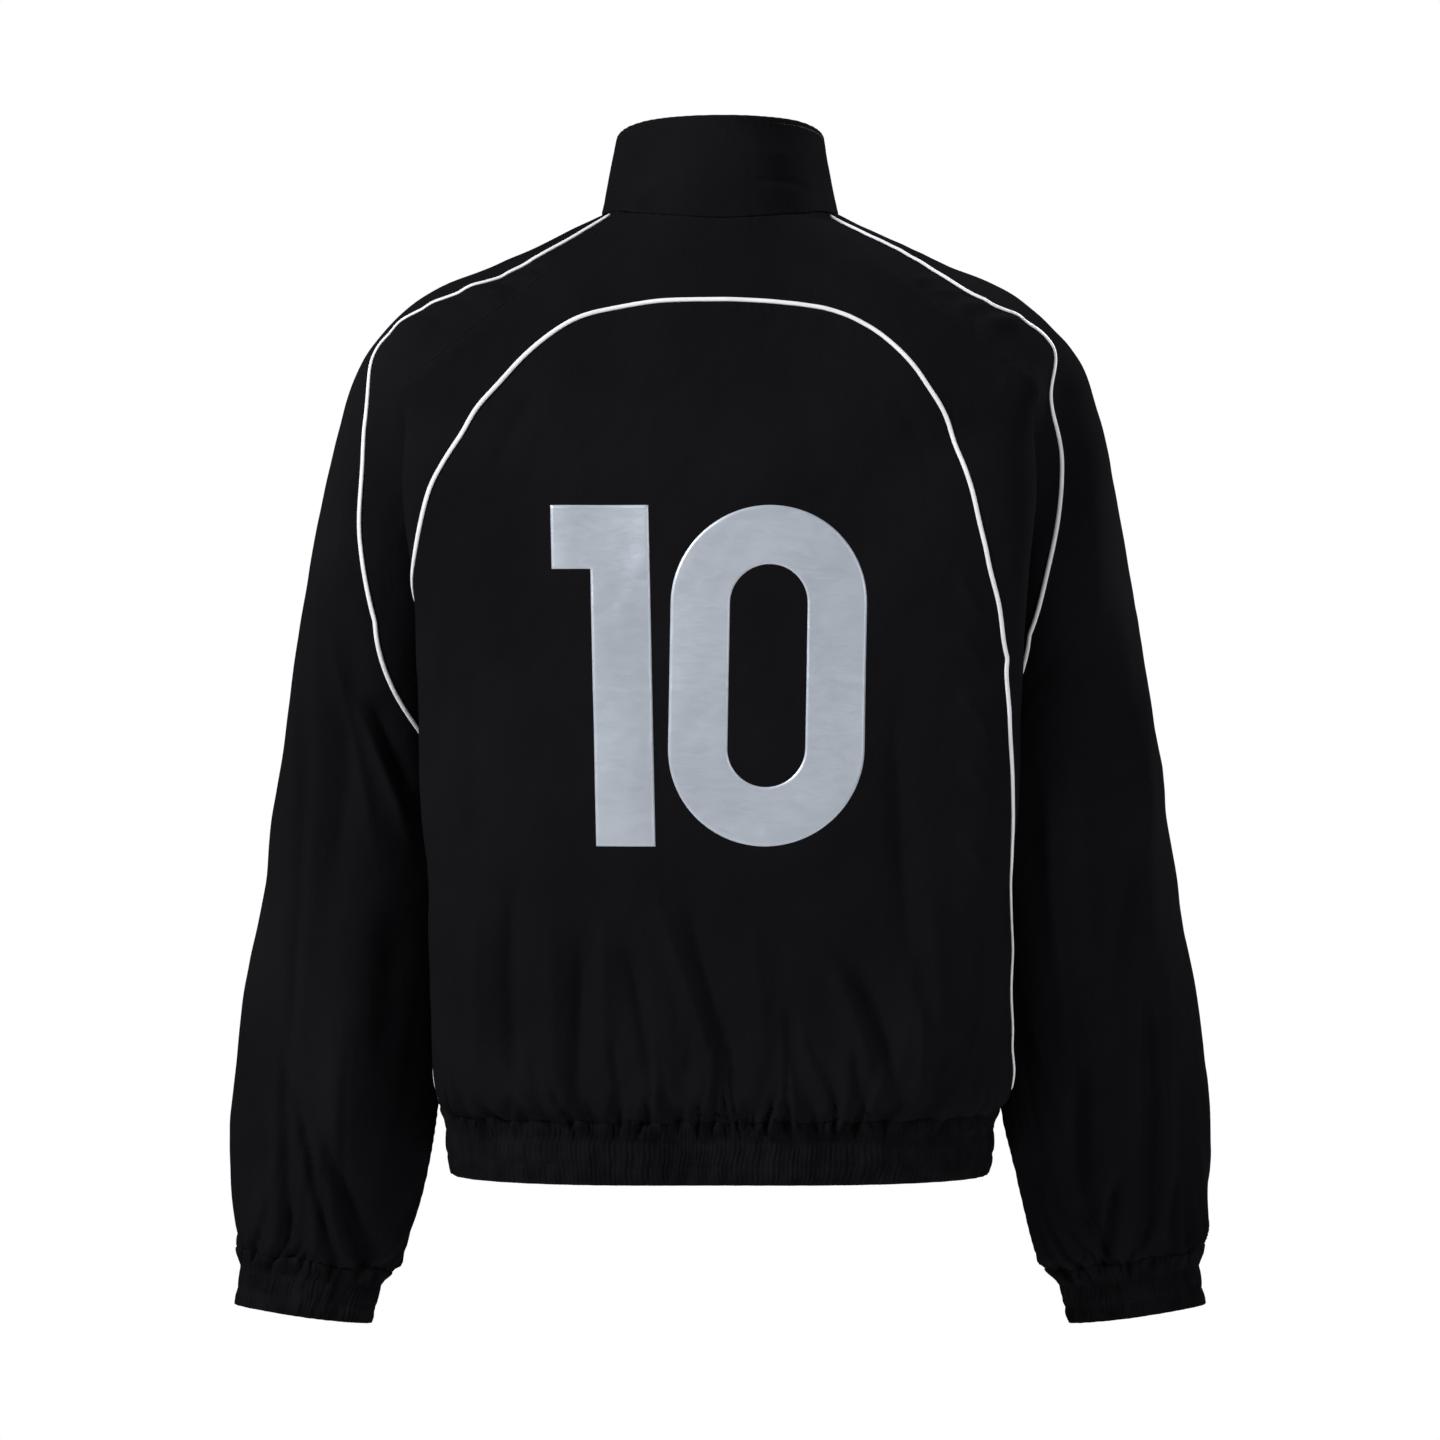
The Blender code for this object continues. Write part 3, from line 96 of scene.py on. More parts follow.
HEM_GATHERS = 62           # main gathers round the hem
HEM_GATHER_DEPTH = 0.0076
HEM_GATHER_REACH = 0.026   # over the seam
HEM_TUCKS = 106            # narrow tucks between them
HEM_SWELLS = 17            # long soft folds that rise from them
HEM_SWELL = 0.0050
HEM_SWELL_REACH = 0.080
CUFF_GATHERS = 15
CUFF_GATHER_DEPTH = 0.0080
CUFF_GATHER_REACH = 0.038
CUFF_TUCKS = 27
CUFF_SWELLS = 7
CUFF_SWELL = 0.0050
CUFF_SWELL_REACH = 0.075
CUFF_ROW_LENGTH = 0.020    # of a sleeve, from row to row near the cuff
GATHER_LEAN = 26.0         # turns by which a valley leans for each metre that it rises
TUCK_LEAN = 2.4 * GATHER_LEAN
TUCK_DEPTH = 0.0042
TUCK_REACH = 0.014
SWELL_START = 0.02         # height over the seam at which the long folds stand out in full
BAND_FOLLOWS = 0.008       # how far down a band the gathers over it still show
SEAM_WANDER = 0.0014       # how far the seams of the hem and cuffs stray up and down
WANDER_REACH = 0.012       # how far from the seam the cloth strays with it
ARCH_LEGS = (1.41, -1.44)  # where the back's piping meets the hem, as angles from the middle of the back
LEG_CALM = 0.09            # angle beside it over which the gathers come back

FRONT_EDGE = 0.0036        # from the middle of the zip to a front's edge
FRONT_EASE = 0.050         # width over which a front gives way to the zip
ZIP_CALM = 0.016           # width beside the zip over which the folds die out
TAPE_WIDTH = 0.013
TAPE_WALL = 0.0008
TAPE_LIFT = 0.0005         # from a front's inner side to the tape behind it
CHAIN_THICKNESS = 0.0022
CHAIN_FRONT = 0.0005       # from a front's outer side to the face of the chain
CHAIN_END = 0.0070         # from the hem's lower edge to the chain's lower end
CHAIN_TOP = 0.0015         # from the collar's top edge down to the chain
TOOTH_PITCH = 0.0031       # of the teeth of one side
TOOTH_REACH = 0.0029       # from the tape's cord over the middle of the zip
TOOTH_HEIGHT = 0.0013      # along the zip

STITCH_LENGTH = 0.0024
STITCH_PITCH = 0.0031
STITCH_WIDTH = 0.0004

NUMBER_TOP = -0.2000       # height of the figures' upper edge
NUMBER_HEIGHT = 0.2190
NUMBER_STROKE = 0.0380
ZERO_WIDTH = 0.1260
ZERO_MIDDLE = -0.0325      # x of the middle of the nought
ONE_RIGHT = 0.0460         # x of the edge of the one that faces the nought
ONE_FLAG = (0.0250, 0.0410)    # width and height of the flag at its top
ONE_LEAN = 0.021           # a figure's slant, as metres across for each metre down
ZERO_LEAN = -0.018
FILM_WALL = 0.00020
FILM_LIFT = 0.00028        # from the cloth's outer side to the film's
FILM_STEP = 0.0019
CREASE_LINE = -0.3165      # height of the line along which the film was folded
CREASE_WIDTH = 0.0022
CREASE_RISE = 0.0004

WEAVE_PITCH = 0.00048      # of the cloth's threads
WEAVE_DEPTH = 0.00005

# Colours are linear.
CLOTH_DARK = (0.0049, 0.0048, 0.0058)
CLOTH_LIGHT = (0.0067, 0.0065, 0.0078)
CLOTH_WORN = (0.0115, 0.0113, 0.0130)
ELASTIC_DARK = (0.0038, 0.0037, 0.0044)
ELASTIC_LIGHT = (0.0068, 0.0067, 0.0077)
PIPING_WHITE = (0.70, 0.70, 0.73)
PIPING_SOILED = (0.56, 0.56, 0.60)
FILM_GREY = (0.38, 0.42, 0.48)
FILM_LIGHT = (0.44, 0.48, 0.54)
FILM_EDGE = (0.54, 0.58, 0.64)
FLOOR_PALE = (0.84, 0.84, 0.84)

CAMERA_DISTANCE = 3.0
CAMERA_HEIGHT = -0.338
PICTURE_WIDTH = 0.9648     # at the origin's depth
FLOOR_HEIGHT = -1.55
FLOOR_HALF = 4.0
SURROUNDINGS = 0.07        # light that comes from all round, against the white that is seen there
SOFTBOXES = (
    # name            place                 size  power
    ("key_behind", (2.25, 1.55, 1.60), 0.8, 153.0),
    ("fill_behind", (-2.20, 2.00, 0.40), 0.9, 34.0),
    ("key_before", (-2.25, -1.55, 1.60), 0.8, 153.0),
    ("fill_before", (2.20, -2.00, 0.40), 0.9, 34.0),
)
LIGHT_AIM = (0.0, 0.0, -0.35)

SIDES = {1: "left", -1: "right"}    # the wearer's, by the sign of x

# ---------------------------------------------------------------- tables of the net

# Rows 0 to 8, back: middle (y, z), half-way, near the edge and behind the edge (x, y), raglan seam (x, y, z).
YOKE_BACK = (
    # y_mid   z_mid   x_half  y_half  x_edge  y_edge  x_tuck  y_tuck  x_seam  y_seam  z_seam
    (0.0760, -0.0100, 0.0300, 0.0735, 0.0540, 0.0575, 0.0600, 0.0500, 0.0650, 0.0410, -0.0020),
    (0.0920, -0.0420, 0.0450, 0.0895, 0.0800, 0.0825, 0.0895, 0.0785, 0.0985, 0.0730, -0.0340),
    (0.1040, -0.0750, 0.0600, 0.1015, 0.1050, 0.0965, 0.1170, 0.0935, 0.1290, 0.0890, -0.0600),
    (0.1130, -0.1080, 0.0750, 0.1105, 0.1300, 0.1065, 0.1445, 0.1035, 0.1580, 0.0990, -0.0820),
    (0.1200, -0.1420, 0.0900, 0.1175, 0.1580, 0.1110, 0.1725, 0.1078, 0.1860, 0.1030, -0.1050),
    (0.1250, -0.1780, 0.1050, 0.1215, 0.1840, 0.1085, 0.1965, 0.1045, 0.2055, 0.0980, -0.1255),
    (0.1280, -0.2160, 0.1150, 0.1235, 0.2040, 0.0985, 0.2045, 0.0860, 0.1980, 0.0720, -0.1680),
    (0.1300, -0.2570, 0.1200, 0.1245, 0.2010, 0.0950, 0.1940, 0.0740, 0.1840, 0.0500, -0.2290),
    (0.1310, -0.3000, 0.1200, 0.1245, 0.1975, 0.0910, 0.1740, 0.0610, 0.1655, 0.0000, -0.2970),
)

# Rows 0 to 8, front: raglan seam (x, y, z), behind the edge and near it (x, y), half-way, middle (y, z).
YOKE_FRONT = (
    # x_seam  y_seam   z_seam   x_tuck  y_tuck   x_edge  y_edge   x_half  y_half   y_mid    z_mid
    (0.0650, -0.0480, -0.0200, 0.0578, -0.0588, 0.0500, -0.0680, 0.0270, -0.0820, -0.0870, -0.0750),
    (0.0910, -0.0710, -0.0400, 0.0819, -0.0798, 0.0720, -0.0870, 0.0400, -0.0970, -0.1000, -0.0970),
    (0.1190, -0.0890, -0.0680, 0.1078, -0.0962, 0.0960, -0.1020, 0.0550, -0.1110, -0.1130, -0.1220),
    (0.1440, -0.1010, -0.0970, 0.1304, -0.1082, 0.1160, -0.1140, 0.0660, -0.1220, -0.1240, -0.1490),
    (0.1660, -0.1070, -0.1300, 0.1514, -0.1145, 0.1360, -0.1210, 0.0800, -0.1300, -0.1320, -0.1780),
    (0.1800, -0.1070, -0.1660, 0.1663, -0.1150, 0.1520, -0.1230, 0.0920, -0.1350, -0.1380, -0.2080),
    (0.1870, -0.0980, -0.2060, 0.1757, -0.1097, 0.1640, -0.1210, 0.1020, -0.1380, -0.1420, -0.2400),
    (0.1850, -0.0720, -0.2500, 0.1800, -0.0920, 0.1730, -0.1120, 0.1100, -0.1400, -0.1450, -0.2700),
    (0.1655, 0.0000, -0.2970, 0.1675, -0.0520, 0.1740, -0.0960, 0.1150, -0.1400, -0.1460, -0.3000),
)

# Rows 0 to 8, sleeve head: back (x, y) twice, outer line (x, y, z), front (x, y) twice.
SLEEVE_HEAD = (
    # x_in    y_in    x_back  y_back  x_out   y_out    z_out    x_front y_front  x_fin   y_fin
    (0.0725, 0.0260, 0.0775, 0.0110, 0.0795, -0.0050, 0.0000, 0.0775, -0.0205, 0.0725, -0.0345),
    (0.1080, 0.0550, 0.1135, 0.0280, 0.1155, -0.0050, -0.0182, 0.1120, -0.0340, 0.1030, -0.0560),
    (0.1460, 0.0700, 0.1570, 0.0380, 0.1610, -0.0060, -0.0385, 0.1550, -0.0440, 0.1400, -0.0710),
    (0.1800, 0.0780, 0.1950, 0.0430, 0.2000, -0.0070, -0.0580, 0.1920, -0.0510, 0.1720, -0.0810),
    (0.2090, 0.0800, 0.2250, 0.0450, 0.2300, -0.0080, -0.0850, 0.2220, -0.0570, 0.1980, -0.0880),
    (0.2160, 0.0720, 0.2380, 0.0450, 0.2470, -0.0090, -0.1150, 0.2390, -0.0620, 0.2120, -0.0930),
    (0.2130, 0.0620, 0.2430, 0.0480, 0.2585, -0.0100, -0.1580, 0.2490, -0.0660, 0.2200, -0.0950),
    (0.2020, 0.0600, 0.2430, 0.0570, 0.2685, -0.0110, -0.2050, 0.2560, -0.0700, 0.2230, -0.0950),
    (0.1900, 0.0550, 0.2330, 0.0680, 0.2780, -0.0120, -0.2540, 0.2590, -0.0750, 0.2130, -0.0900),
)

# Rows 9 to 15 of the trunk, down to the hem seam, level all round: the back, then the side seam.
TRUNK_BACK = (
    # z       y_mid   x_half  y_half  x_edge  y_edge  x_tuck  y_tuck  x_side  y_side
    (-0.3500, 0.1310, 0.1200, 0.1240, 0.1955, 0.0880, 0.1740, 0.0570, 0.1600, -0.0040),
    (-0.4050, 0.1290, 0.1190, 0.1220, 0.1930, 0.0830, 0.1755, 0.0540, 0.1620, -0.0060),
    (-0.4600, 0.1260, 0.1180, 0.1190, 0.1900, 0.0780, 0.1780, 0.0480, 0.1675, -0.0060),
    (-0.5150, 0.1220, 0.1170, 0.1140, 0.1900, 0.0680, 0.1840, 0.0390, 0.1760, -0.0050),
    (-0.5600, 0.1180, 0.1150, 0.1100, 0.1880, 0.0585, 0.1885, 0.0310, 0.1822, -0.0030),
    (-0.5850, 0.1140, 0.1120, 0.1060, 0.1830, 0.0545, 0.1862, 0.0285, 0.1838, -0.0020),
    (-0.5980, 0.1080, 0.1075, 0.1005, 0.1735, 0.0520, 0.1795, 0.0270, 0.1810, -0.0020),
)

# The same rows of a front, from its tuck column to the middle.
TRUNK_FRONT = (
    # x_tuck  y_tuck   x_edge  y_edge   x_half  y_half   y_mid
    (0.1640, -0.0530, 0.1720, -0.0950, 0.1150, -0.1390, -0.1460),
    (0.1660, -0.0520, 0.1720, -0.0930, 0.1140, -0.1370, -0.1440),
    (0.1710, -0.0500, 0.1720, -0.0900, 0.1130, -0.1320, -0.1390),
    (0.1770, -0.0460, 0.1720, -0.0840, 0.1120, -0.1250, -0.1320),
    (0.1807, -0.0415, 0.1710, -0.0770, 0.1100, -0.1180, -0.1250),
    (0.1808, -0.0397, 0.1690, -0.0740, 0.1080, -0.1130, -0.1200),
    (0.1784, -0.0382, 0.1660, -0.0710, 0.1050, -0.1070, -0.1130),
)

# Rows 9 to 17 of a sleeve, down to the cuff seam: an oval round the middle, its outer side higher by tilt.
SLEEVE = (
    # x_mid   y_mid    z_mid    half_width half_depth half_tilt
    (0.2280, -0.0100, -0.3300, 0.0590, 0.0770, 0.0195),
    (0.2330, -0.0130, -0.3850, 0.0630, 0.0710, 0.0175),
    (0.2395, -0.0170, -0.4400, 0.0645, 0.0645, 0.0155),
    (0.2465, -0.0210, -0.4950, 0.0648, 0.0580, 0.0135),
    (0.2535, -0.0250, -0.5500, 0.0655, 0.0525, 0.0120),
    (0.2607, -0.0290, -0.6050, 0.0646, 0.0470, 0.0100),
    (0.2671, -0.0320, -0.6550, 0.0607, 0.0400, 0.0085),
    (0.2712, -0.0340, -0.6850, 0.0540, 0.0310, 0.0075),
    (0.2745, -0.0350, -0.7030, 0.0470, 0.0205, 0.0065),
)

# The white piping over the back, from the hem at the +X side over its arch to the hem at the -X side.
ARCH = (
    # (u, row)
    (0.870, 15.00), (0.860, 13.50), (0.855, 12.00), (0.850, 10.90), (0.843, 10.00), (0.834, 9.30),
    (0.817, 8.60), (0.795, 8.00), (0.776, 7.50), (0.759, 7.02), (0.745, 6.55), (0.742, 6.15), (0.756, 5.79),
    (0.773, 5.43), (0.760, 4.90), (0.748, 4.24), (0.744, 3.62), (0.725, 3.11), (0.681, 2.61), (0.599, 2.23),
    (0.478, 1.99), (0.343, 1.84), (0.183, 1.75), (0.015, 1.72), (-0.152, 1.75), (-0.303, 1.83),
    (-0.451, 1.97), (-0.573, 2.21), (-0.653, 2.61), (-0.690, 3.09), (-0.703, 3.66), (-0.697, 4.31),
    (-0.697, 4.98), (-0.692, 5.48), (-0.660, 5.87), (-0.642, 6.27), (-0.644, 6.66), (-0.640, 7.00),
    (-0.622, 7.37), (-0.590, 7.73), (-0.569, 8.11), (-0.574, 8.50), (-0.584, 8.89), (-0.595, 9.28),
    (-0.607, 9.65), (-0.623, 10.03), (-0.645, 10.40), (-0.668, 10.77), (-0.688, 11.15), (-0.708, 11.60),
    (-0.735, 12.10), (-0.764, 12.60), (-0.790, 13.10), (-0.816, 13.60), (-0.852, 14.20), (-0.895, 15.00),
)

# The piping down each sleeve: its u at rows 0 to 10, by side (1 is +X).
SLEEVE_PIPING = {
    1: (0.088, 0.119, 0.120, 0.178, 0.238, 0.203, 0.163, 0.192, 0.238, 0.188, 0.006),
    -1: (0.095, 0.138, 0.138, 0.142, 0.190, 0.118, 0.119, 0.134, 0.180, 0.125, 0.006),
}

# Soft folds and creases, by the pieces that have them and the side from which they are seen square on, in
# tenths of a millimetre: where one starts, bends and ends (across, z), half its width and its height.
# Across is x on the back and front, and y on the flanks. A height below 0 is a trough.
TENTHS = 10000.0
FOLDS = {
    ("both", "back"): (
        (1440, -500, 1290, -510, 1130, -470, 42, 30), (1720, -615, 1530, -625, 1320, -590, 52, 38),
        (2180, -860, 1980, -830, 1780, -830, 56, 38), (-1780, -680, -1640, -690, -1470, -680, 48, 35),
        (-2010, -785, -1830, -790, -1640, -820, 52, 38), (1950, -705, 1780, -715, 1590, -700, 40, 30),
        (1270, -395, 1180, -420, 1060, -410, 30, 14), (-1440, -475, -1330, -510, -1200, -490, 32, 17),
        (-1600, -575, -1480, -590, -1360, -580, 32, 16),
    ),
    ("both", "front"): (
        (1800, -600, 1560, -800, 1300, -950, 70, 25), (-1800, -620, -1540, -840, -1300, -1000, 70, 25),
        (2080, -830, 1800, -1030, 1500, -1200, 60, 22), (-2080, -850, -1780, -1080, -1520, -1260, 60, 20),
    ),
    ("trunk", "back"): (
        (-180, -4500, -270, -5200, -340, -5900, 110, 30),
        (-1200, -4200, -1250, -5000, -1100, -5900, 130, 40),
        (-1130, -3000, -1180, -4300, -1350, -5500, 90, -34),
        (-1310, -4300, -1400, -5000, -1430, -5600, 80, 22), (450, -2100, 410, -3300, 370, -4500, 100, -16),
        (1560, -4450, 1570, -5100, 1530, -5780, 70, 34), (1329, -4200, 1352, -5150, 1297, -5960, 70, -50),
        (1229, -5480, 1190, -5700, 1116, -5940, 34, -26), (1085, -4500, 1080, -5200, 1045, -5880, 70, 32),
        (880, -4650, 913, -5350, 920, -5920, 55, -40), (745, -4500, 750, -5150, 710, -5800, 55, 28),
        (713, -5400, 681, -5620, 642, -5850, 32, -22), (640, -4650, 500, -5300, 436, -5850, 60, -40),
        (468, -4400, 210, -5120, -20, -5830, 58, 36), (260, -4400, 55, -5150, -140, -5830, 66, -46),
        (-425, -5150, -455, -5500, -485, -5880, 45, -30), (-620, -4850, -860, -5300, -990, -5880, 60, 32),
        (-740, -4850, -1010, -5300, -1150, -5920, 48, -52),
        (-868, -5450, -875, -5660, -885, -5880, 32, -24),
        (-1265, -5050, -1290, -5500, -1265, -5920, 56, 30),
        (-1440, -5420, -1415, -5660, -1375, -5920, 36, -30),
        (-1710, -4450, -1655, -5200, -1590, -5900, 48, -36),
        (1650, -2700, 1580, -3600, 1610, -4500, 100, -18),
        (-1480, -2450, -1590, -2560, -1690, -2750, 36, 14),
        (-1500, -2830, -1620, -2950, -1740, -3120, 34, 14),
        (-1500, -3200, -1630, -3330, -1760, -3540, 36, 16),
        (-1530, -3640, -1640, -3750, -1760, -3980, 34, 13),
        (-1520, -4100, -1640, -4250, -1740, -4470, 36, 13), (1760, -2500, 1830, -2900, 1820, -3400, 60, 18),
        (1100, -1150, 1330, -1500, 1480, -1900, 80, -12),
        (-1050, -1200, -1280, -1600, -1420, -2100, 80, -12),
    ),
    ("trunk", "front"): (
        (900, -4400, 1000, -5150, 1150, -5900, 130, 35), (-900, -4600, -1020, -5250, -1000, -5900, 130, 35),
        (480, -3500, 520, -4700, 640, -5850, 90, -28), (-520, -3800, -480, -4800, -600, -5850, 85, -26),
        (1450, -3300, 1400, -4400, 1480, -5600, 95, -28),
        (-1420, -3600, -1460, -4600, -1380, -5700, 90, -30), (300, -4900, 360, -5400, 340, -5880, 60, 24),
        (-260, -4700, -320, -5300, -280, -5880, 62, 22), (830, -1500, 1060, -2100, 1160, -2900, 110, -20),
        (-780, -1600, -1040, -2250, -1200, -3000, 110, -20),
        (1680, -2100, 1450, -2350, 1180, -2450, 55, 20), (-1700, -2200, -1440, -2480, -1150, -2560, 55, 20),
        (1700, -2600, 1480, -2950, 1300, -3150, 50, 16), (-1700, -2750, -1500, -3050, -1260, -3200, 50, 16),
    ),
    ("sleeve", "back"): (
        (2640, -1900, 2720, -3100, 2830, -4300, 140, 50), (2420, -2700, 2460, -3700, 2560, -4600, 120, -45),
        (-2600, -2300, -2720, -3500, -2900, -4700, 150, 50),
        (-2360, -3400, -2420, -4300, -2550, -5200, 120, -40),
        (2590, -1850, 2650, -3900, 2900, -6000, 58, 40), (2680, -2300, 2770, -4400, 2970, -6300, 62, -42),
        (2571, -2450, 2430, -3400, 2254, -4300, 42, 40), (2450, -3150, 2215, -3700, 2000, -4350, 42, 40),
        (2330, -3180, 2160, -3530, 2010, -3930, 70, -38), (2160, -4550, 2190, -5150, 2280, -5750, 100, -36),
        (2934, -5200, 2925, -6350, 2880, -7350, 48, -60), (2910, -5800, 2740, -6350, 2590, -7200, 40, -56),
        (2726, -6000, 2500, -6600, 2350, -7350, 46, -58), (2840, -5950, 2640, -6480, 2480, -7200, 34, 36),
        (2560, -5200, 2570, -5900, 2600, -6500, 85, 24), (3050, -6000, 3060, -6480, 3010, -6950, 36, -30),
        (2390, -1650, 2480, -2200, 2500, -2800, 80, 22), (-2160, -3600, -2180, -4400, -2260, -5200, 70, 26),
        (-2775, -3900, -2690, -4550, -2580, -5250, 90, -30),
        (-2840, -4750, -2873, -5850, -2840, -7100, 58, -66),
        (-2980, -4900, -3010, -5800, -2980, -6700, 62, 28),
        (-2720, -5050, -2730, -5850, -2750, -6600, 70, 28),
        (-2700, -6340, -2604, -6660, -2610, -7120, 32, -58),
        (-3150, -6340, -3045, -6660, -3050, -7100, 30, -50),
        (-2300, -6600, -2500, -6840, -2640, -7180, 32, -52),
        (-2400, -6560, -2540, -6800, -2660, -7140, 26, -40),
        (-2470, -5600, -2480, -6150, -2530, -6650, 75, 26),
        (-2330, -5800, -2390, -6250, -2430, -6750, 50, -30),
        (-2420, -1700, -2470, -2300, -2460, -3000, 80, 20),
        (-2500, -1300, -2590, -1500, -2640, -1800, 50, 20),
        (-2440, -1120, -2350, -1190, -2250, -1200, 30, 14),
    ),
    ("sleeve", "front"): (
        (2600, -2500, 2680, -3550, 2800, -4600, 140, 45),
        (-2600, -2700, -2700, -3750, -2750, -4800, 140, 45),
        (2200, -2300, 2330, -3000, 2400, -3800, 80, -32),
        (-2250, -2400, -2360, -3200, -2420, -4000, 80, -32),
        (2150, -3900, 2500, -4150, 2850, -4150, 65, 26), (-2200, -4050, -2540, -4300, -2880, -4280, 65, 26),
        (2250, -4400, 2560, -4560, 2860, -4500, 55, 20), (-2240, -4520, -2540, -4680, -2840, -4640, 55, 20),
        (2500, -5200, 2560, -6000, 2680, -6850, 80, 26), (-2520, -5100, -2600, -6000, -2660, -6850, 80, 26),
        (2820, -5400, 2880, -6100, 2860, -6800, 70, -24),
        (-2860, -5300, -2900, -6000, -2880, -6800, 70, -24),
    ),
    ("both", "left"): (
        (300, -2500, 360, -3800, 200, -5200, 110, 34), (-250, -2100, -300, -3600, -420, -5000, 110, -32),
        (-100, -4600, -220, -5700, -300, -6850, 80, 28), (120, -5000, 20, -6000, -160, -6850, 75, -24),
        (-560, -3900, -380, -4100, -180, -4150, 60, 16),
    ),
    ("both", "right"): (
        (260, -2700, 330, -4000, 160, -5400, 110, 34), (-280, -2300, -340, -3600, -400, -5100, 110, -32),
        (-80, -4500, -200, -5600, -330, -6850, 80, 28), (140, -4900, 40, -5900, -150, -6850, 75, -24),
        (-550, -4050, -370, -4250, -170, -4300, 60, 16),
    ),
    ("collar", "back"): (
        (-120, 120, -400, 150, -640, 110, 22, -10), (560, -40, 450, 120, 300, 240, 60, 16),
        (640, 380, 520, 250, 420, 80, 60, -14), (-100, 400, -300, 330, -540, 350, 60, 12),
    ),
    ("collar", "front"): (
        (600, -50, 420, -220, 260, -420, 60, 16), (-600, -80, -440, -260, -300, -460, 60, 16),
    ),
}
VIEWS = {"back": (0, (0.0, 1.0, 0.0)), "front": (0, (0.0, -1.0, 0.0)),
         "left": (1, (1.0, 0.0, 0.0)), "right": (1, (-1.0, 0.0, 0.0))}

# ---------------------------------------------------------------- how the net is read

UNDERARM = 8
HEM_ROW = UNDERARM + len(TRUNK_BACK)
CUFF_ROW = UNDERARM + len(SLEEVE)
PIPING_END = 10            # row where a sleeve's piping reaches the sleeve's seam
SIDE_SEAM = [(line[8], line[9], line[0]) for line in TRUNK_BACK]
RING_ANGLES = (130.0, 82.0, 0.0, -57.0, -108.0)   # of a sleeve oval's points, from the outer side
DOWN = (0.0, 0.0, -1.0)
BACKWARDS = np.array((0.0, 1.0, 0.0))
CREASE_START = 4.5         # from this row to the next the raglan seam turns into a valley
CREASE_END = 6.5
RING_EASE = 0.8            # rows over which it then closes into the rings of trunk and sleeve
SEAM_RISE = 1.6            # how late a half row leaves the middle's level for its seam
ARCH_SHOULDER = 4.0        # above this row the arch is a top, below it has two legs

# ---------------------------------------------------------------- splines


def smoothstep(x):
    """0 below 0, 1 above 1, and smooth between them."""
    x = np.clip(x, 0.0, 1.0)
    return x * x * (3.0 - 2.0 * x)


def spline_down(table, row):
    """Natural cubic spline through a table's rows, read at the row numbers given."""
    table = np.asarray(table, float)
    row = np.asarray(row, float)
    count = len(table)
    system = np.diag(np.full(count, 4.0)) + np.diag(np.ones(count - 1), 1) + np.diag(np.ones(count - 1), -1)
    system[0, 0] = 2.0
    system[-1, -1] = 2.0
    ahead = np.concatenate((table[1:], table[-1:]))
    behind = np.concatenate((table[:1], table[:-1]))
    slope = np.linalg.solve(system, 3.0 * (ahead - behind))
    k = np.clip(np.floor(row).astype(int), 0, count - 2)
    t = (row - k)[..., None]
    return ((1 + 2 * t) * (1 - t) ** 2 * table[k] + t * (1 - t) ** 2 * slope[k]
            + t * t * (3 - 2 * t) * table[k + 1] + t * t * (t - 1) * slope[k + 1])


def spline_round(points, start, end, u):
    """Cubic spline of each row of points (n, k, 3) at u (n,) of its length, with unit end directions."""
    count = points.shape[1]
    chord = np.linalg.norm(np.diff(points, axis=1), axis=2)
    system = np.zeros((len(points), count, count))
    right = np.zeros((len(points), count, 3))
    system[:, 0, 0] = 1.0
    system[:, -1, -1] = 1.0
    right[:, 0] = start
    right[:, -1] = end
    for i in range(1, count - 1):
        before = chord[:, i - 1]
        after = chord[:, i]
        system[:, i, i - 1] = after
        system[:, i, i] = 2 * (before + after)
        system[:, i, i + 1] = before
        right[:, i] = 3 * ((after / before)[:, None] * (points[:, i] - points[:, i - 1])
                           + (before / after)[:, None] * (points[:, i + 1] - points[:, i]))
    slope = np.linalg.solve(system, right)
    knots = np.concatenate((np.zeros((len(points), 1)), np.cumsum(chord, axis=1)), axis=1)
    at = u * knots[:, -1]
    k = np.clip((at[:, None] >= knots[:, 1:-1]).sum(axis=1), 0, count - 2)
    n = np.arange(len(points))
    h = chord[n, k][:, None]
    t = ((at - knots[n, k])[:, None]) / h
    return ((1 + 2 * t) * (1 - t) ** 2 * points[n, k] + t * (1 - t) ** 2 * h * slope[n, k]
            + t * t * (3 - 2 * t) * points[n, k + 1] + t * t * (t - 1) * h * slope[n, k + 1])


def unit(vectors):
    return vectors / np.linalg.norm(vectors, axis=-1, keepdims=True)


# ---------------------------------------------------------------- rows of the net


def stack(*columns):
    """Points from x, y and z columns, each an array or one number."""
    return np.stack(np.broadcast_arrays(*columns), axis=-1)


def half_row(middle, between, seam):
    """Points of a half row from the middle (y, z) to the seam: level first, then rising to the seam."""
    y_mid, z_mid = middle
    xy = np.stack([stack(0 * y_mid, y_mid)] + between + [seam[:, :2]])
    step = np.linalg.norm(np.diff(xy, axis=0), axis=-1)
    reach = np.concatenate((np.zeros((1, len(y_mid))), np.cumsum(step, axis=0)))
    z = z_mid + (seam[:, 2] - z_mid) * (reach / reach[-1]) ** SEAM_RISE
    return np.concatenate((xy, z[..., None]), axis=-1).swapaxes(0, 1)


def cornered(above, below, row):
    """A seam's points: through the rows down to the underarm, where it turns, then through the rows below."""
    row = np.asarray(row, float)
    upper = spline_down(above, np.minimum(row, UNDERARM))
    lower = spline_down(np.concatenate((np.array(above)[-1:], below)), np.maximum(row - UNDERARM, 0.0))
    return np.where((row <= UNDERARM)[:, None], upper, lower)


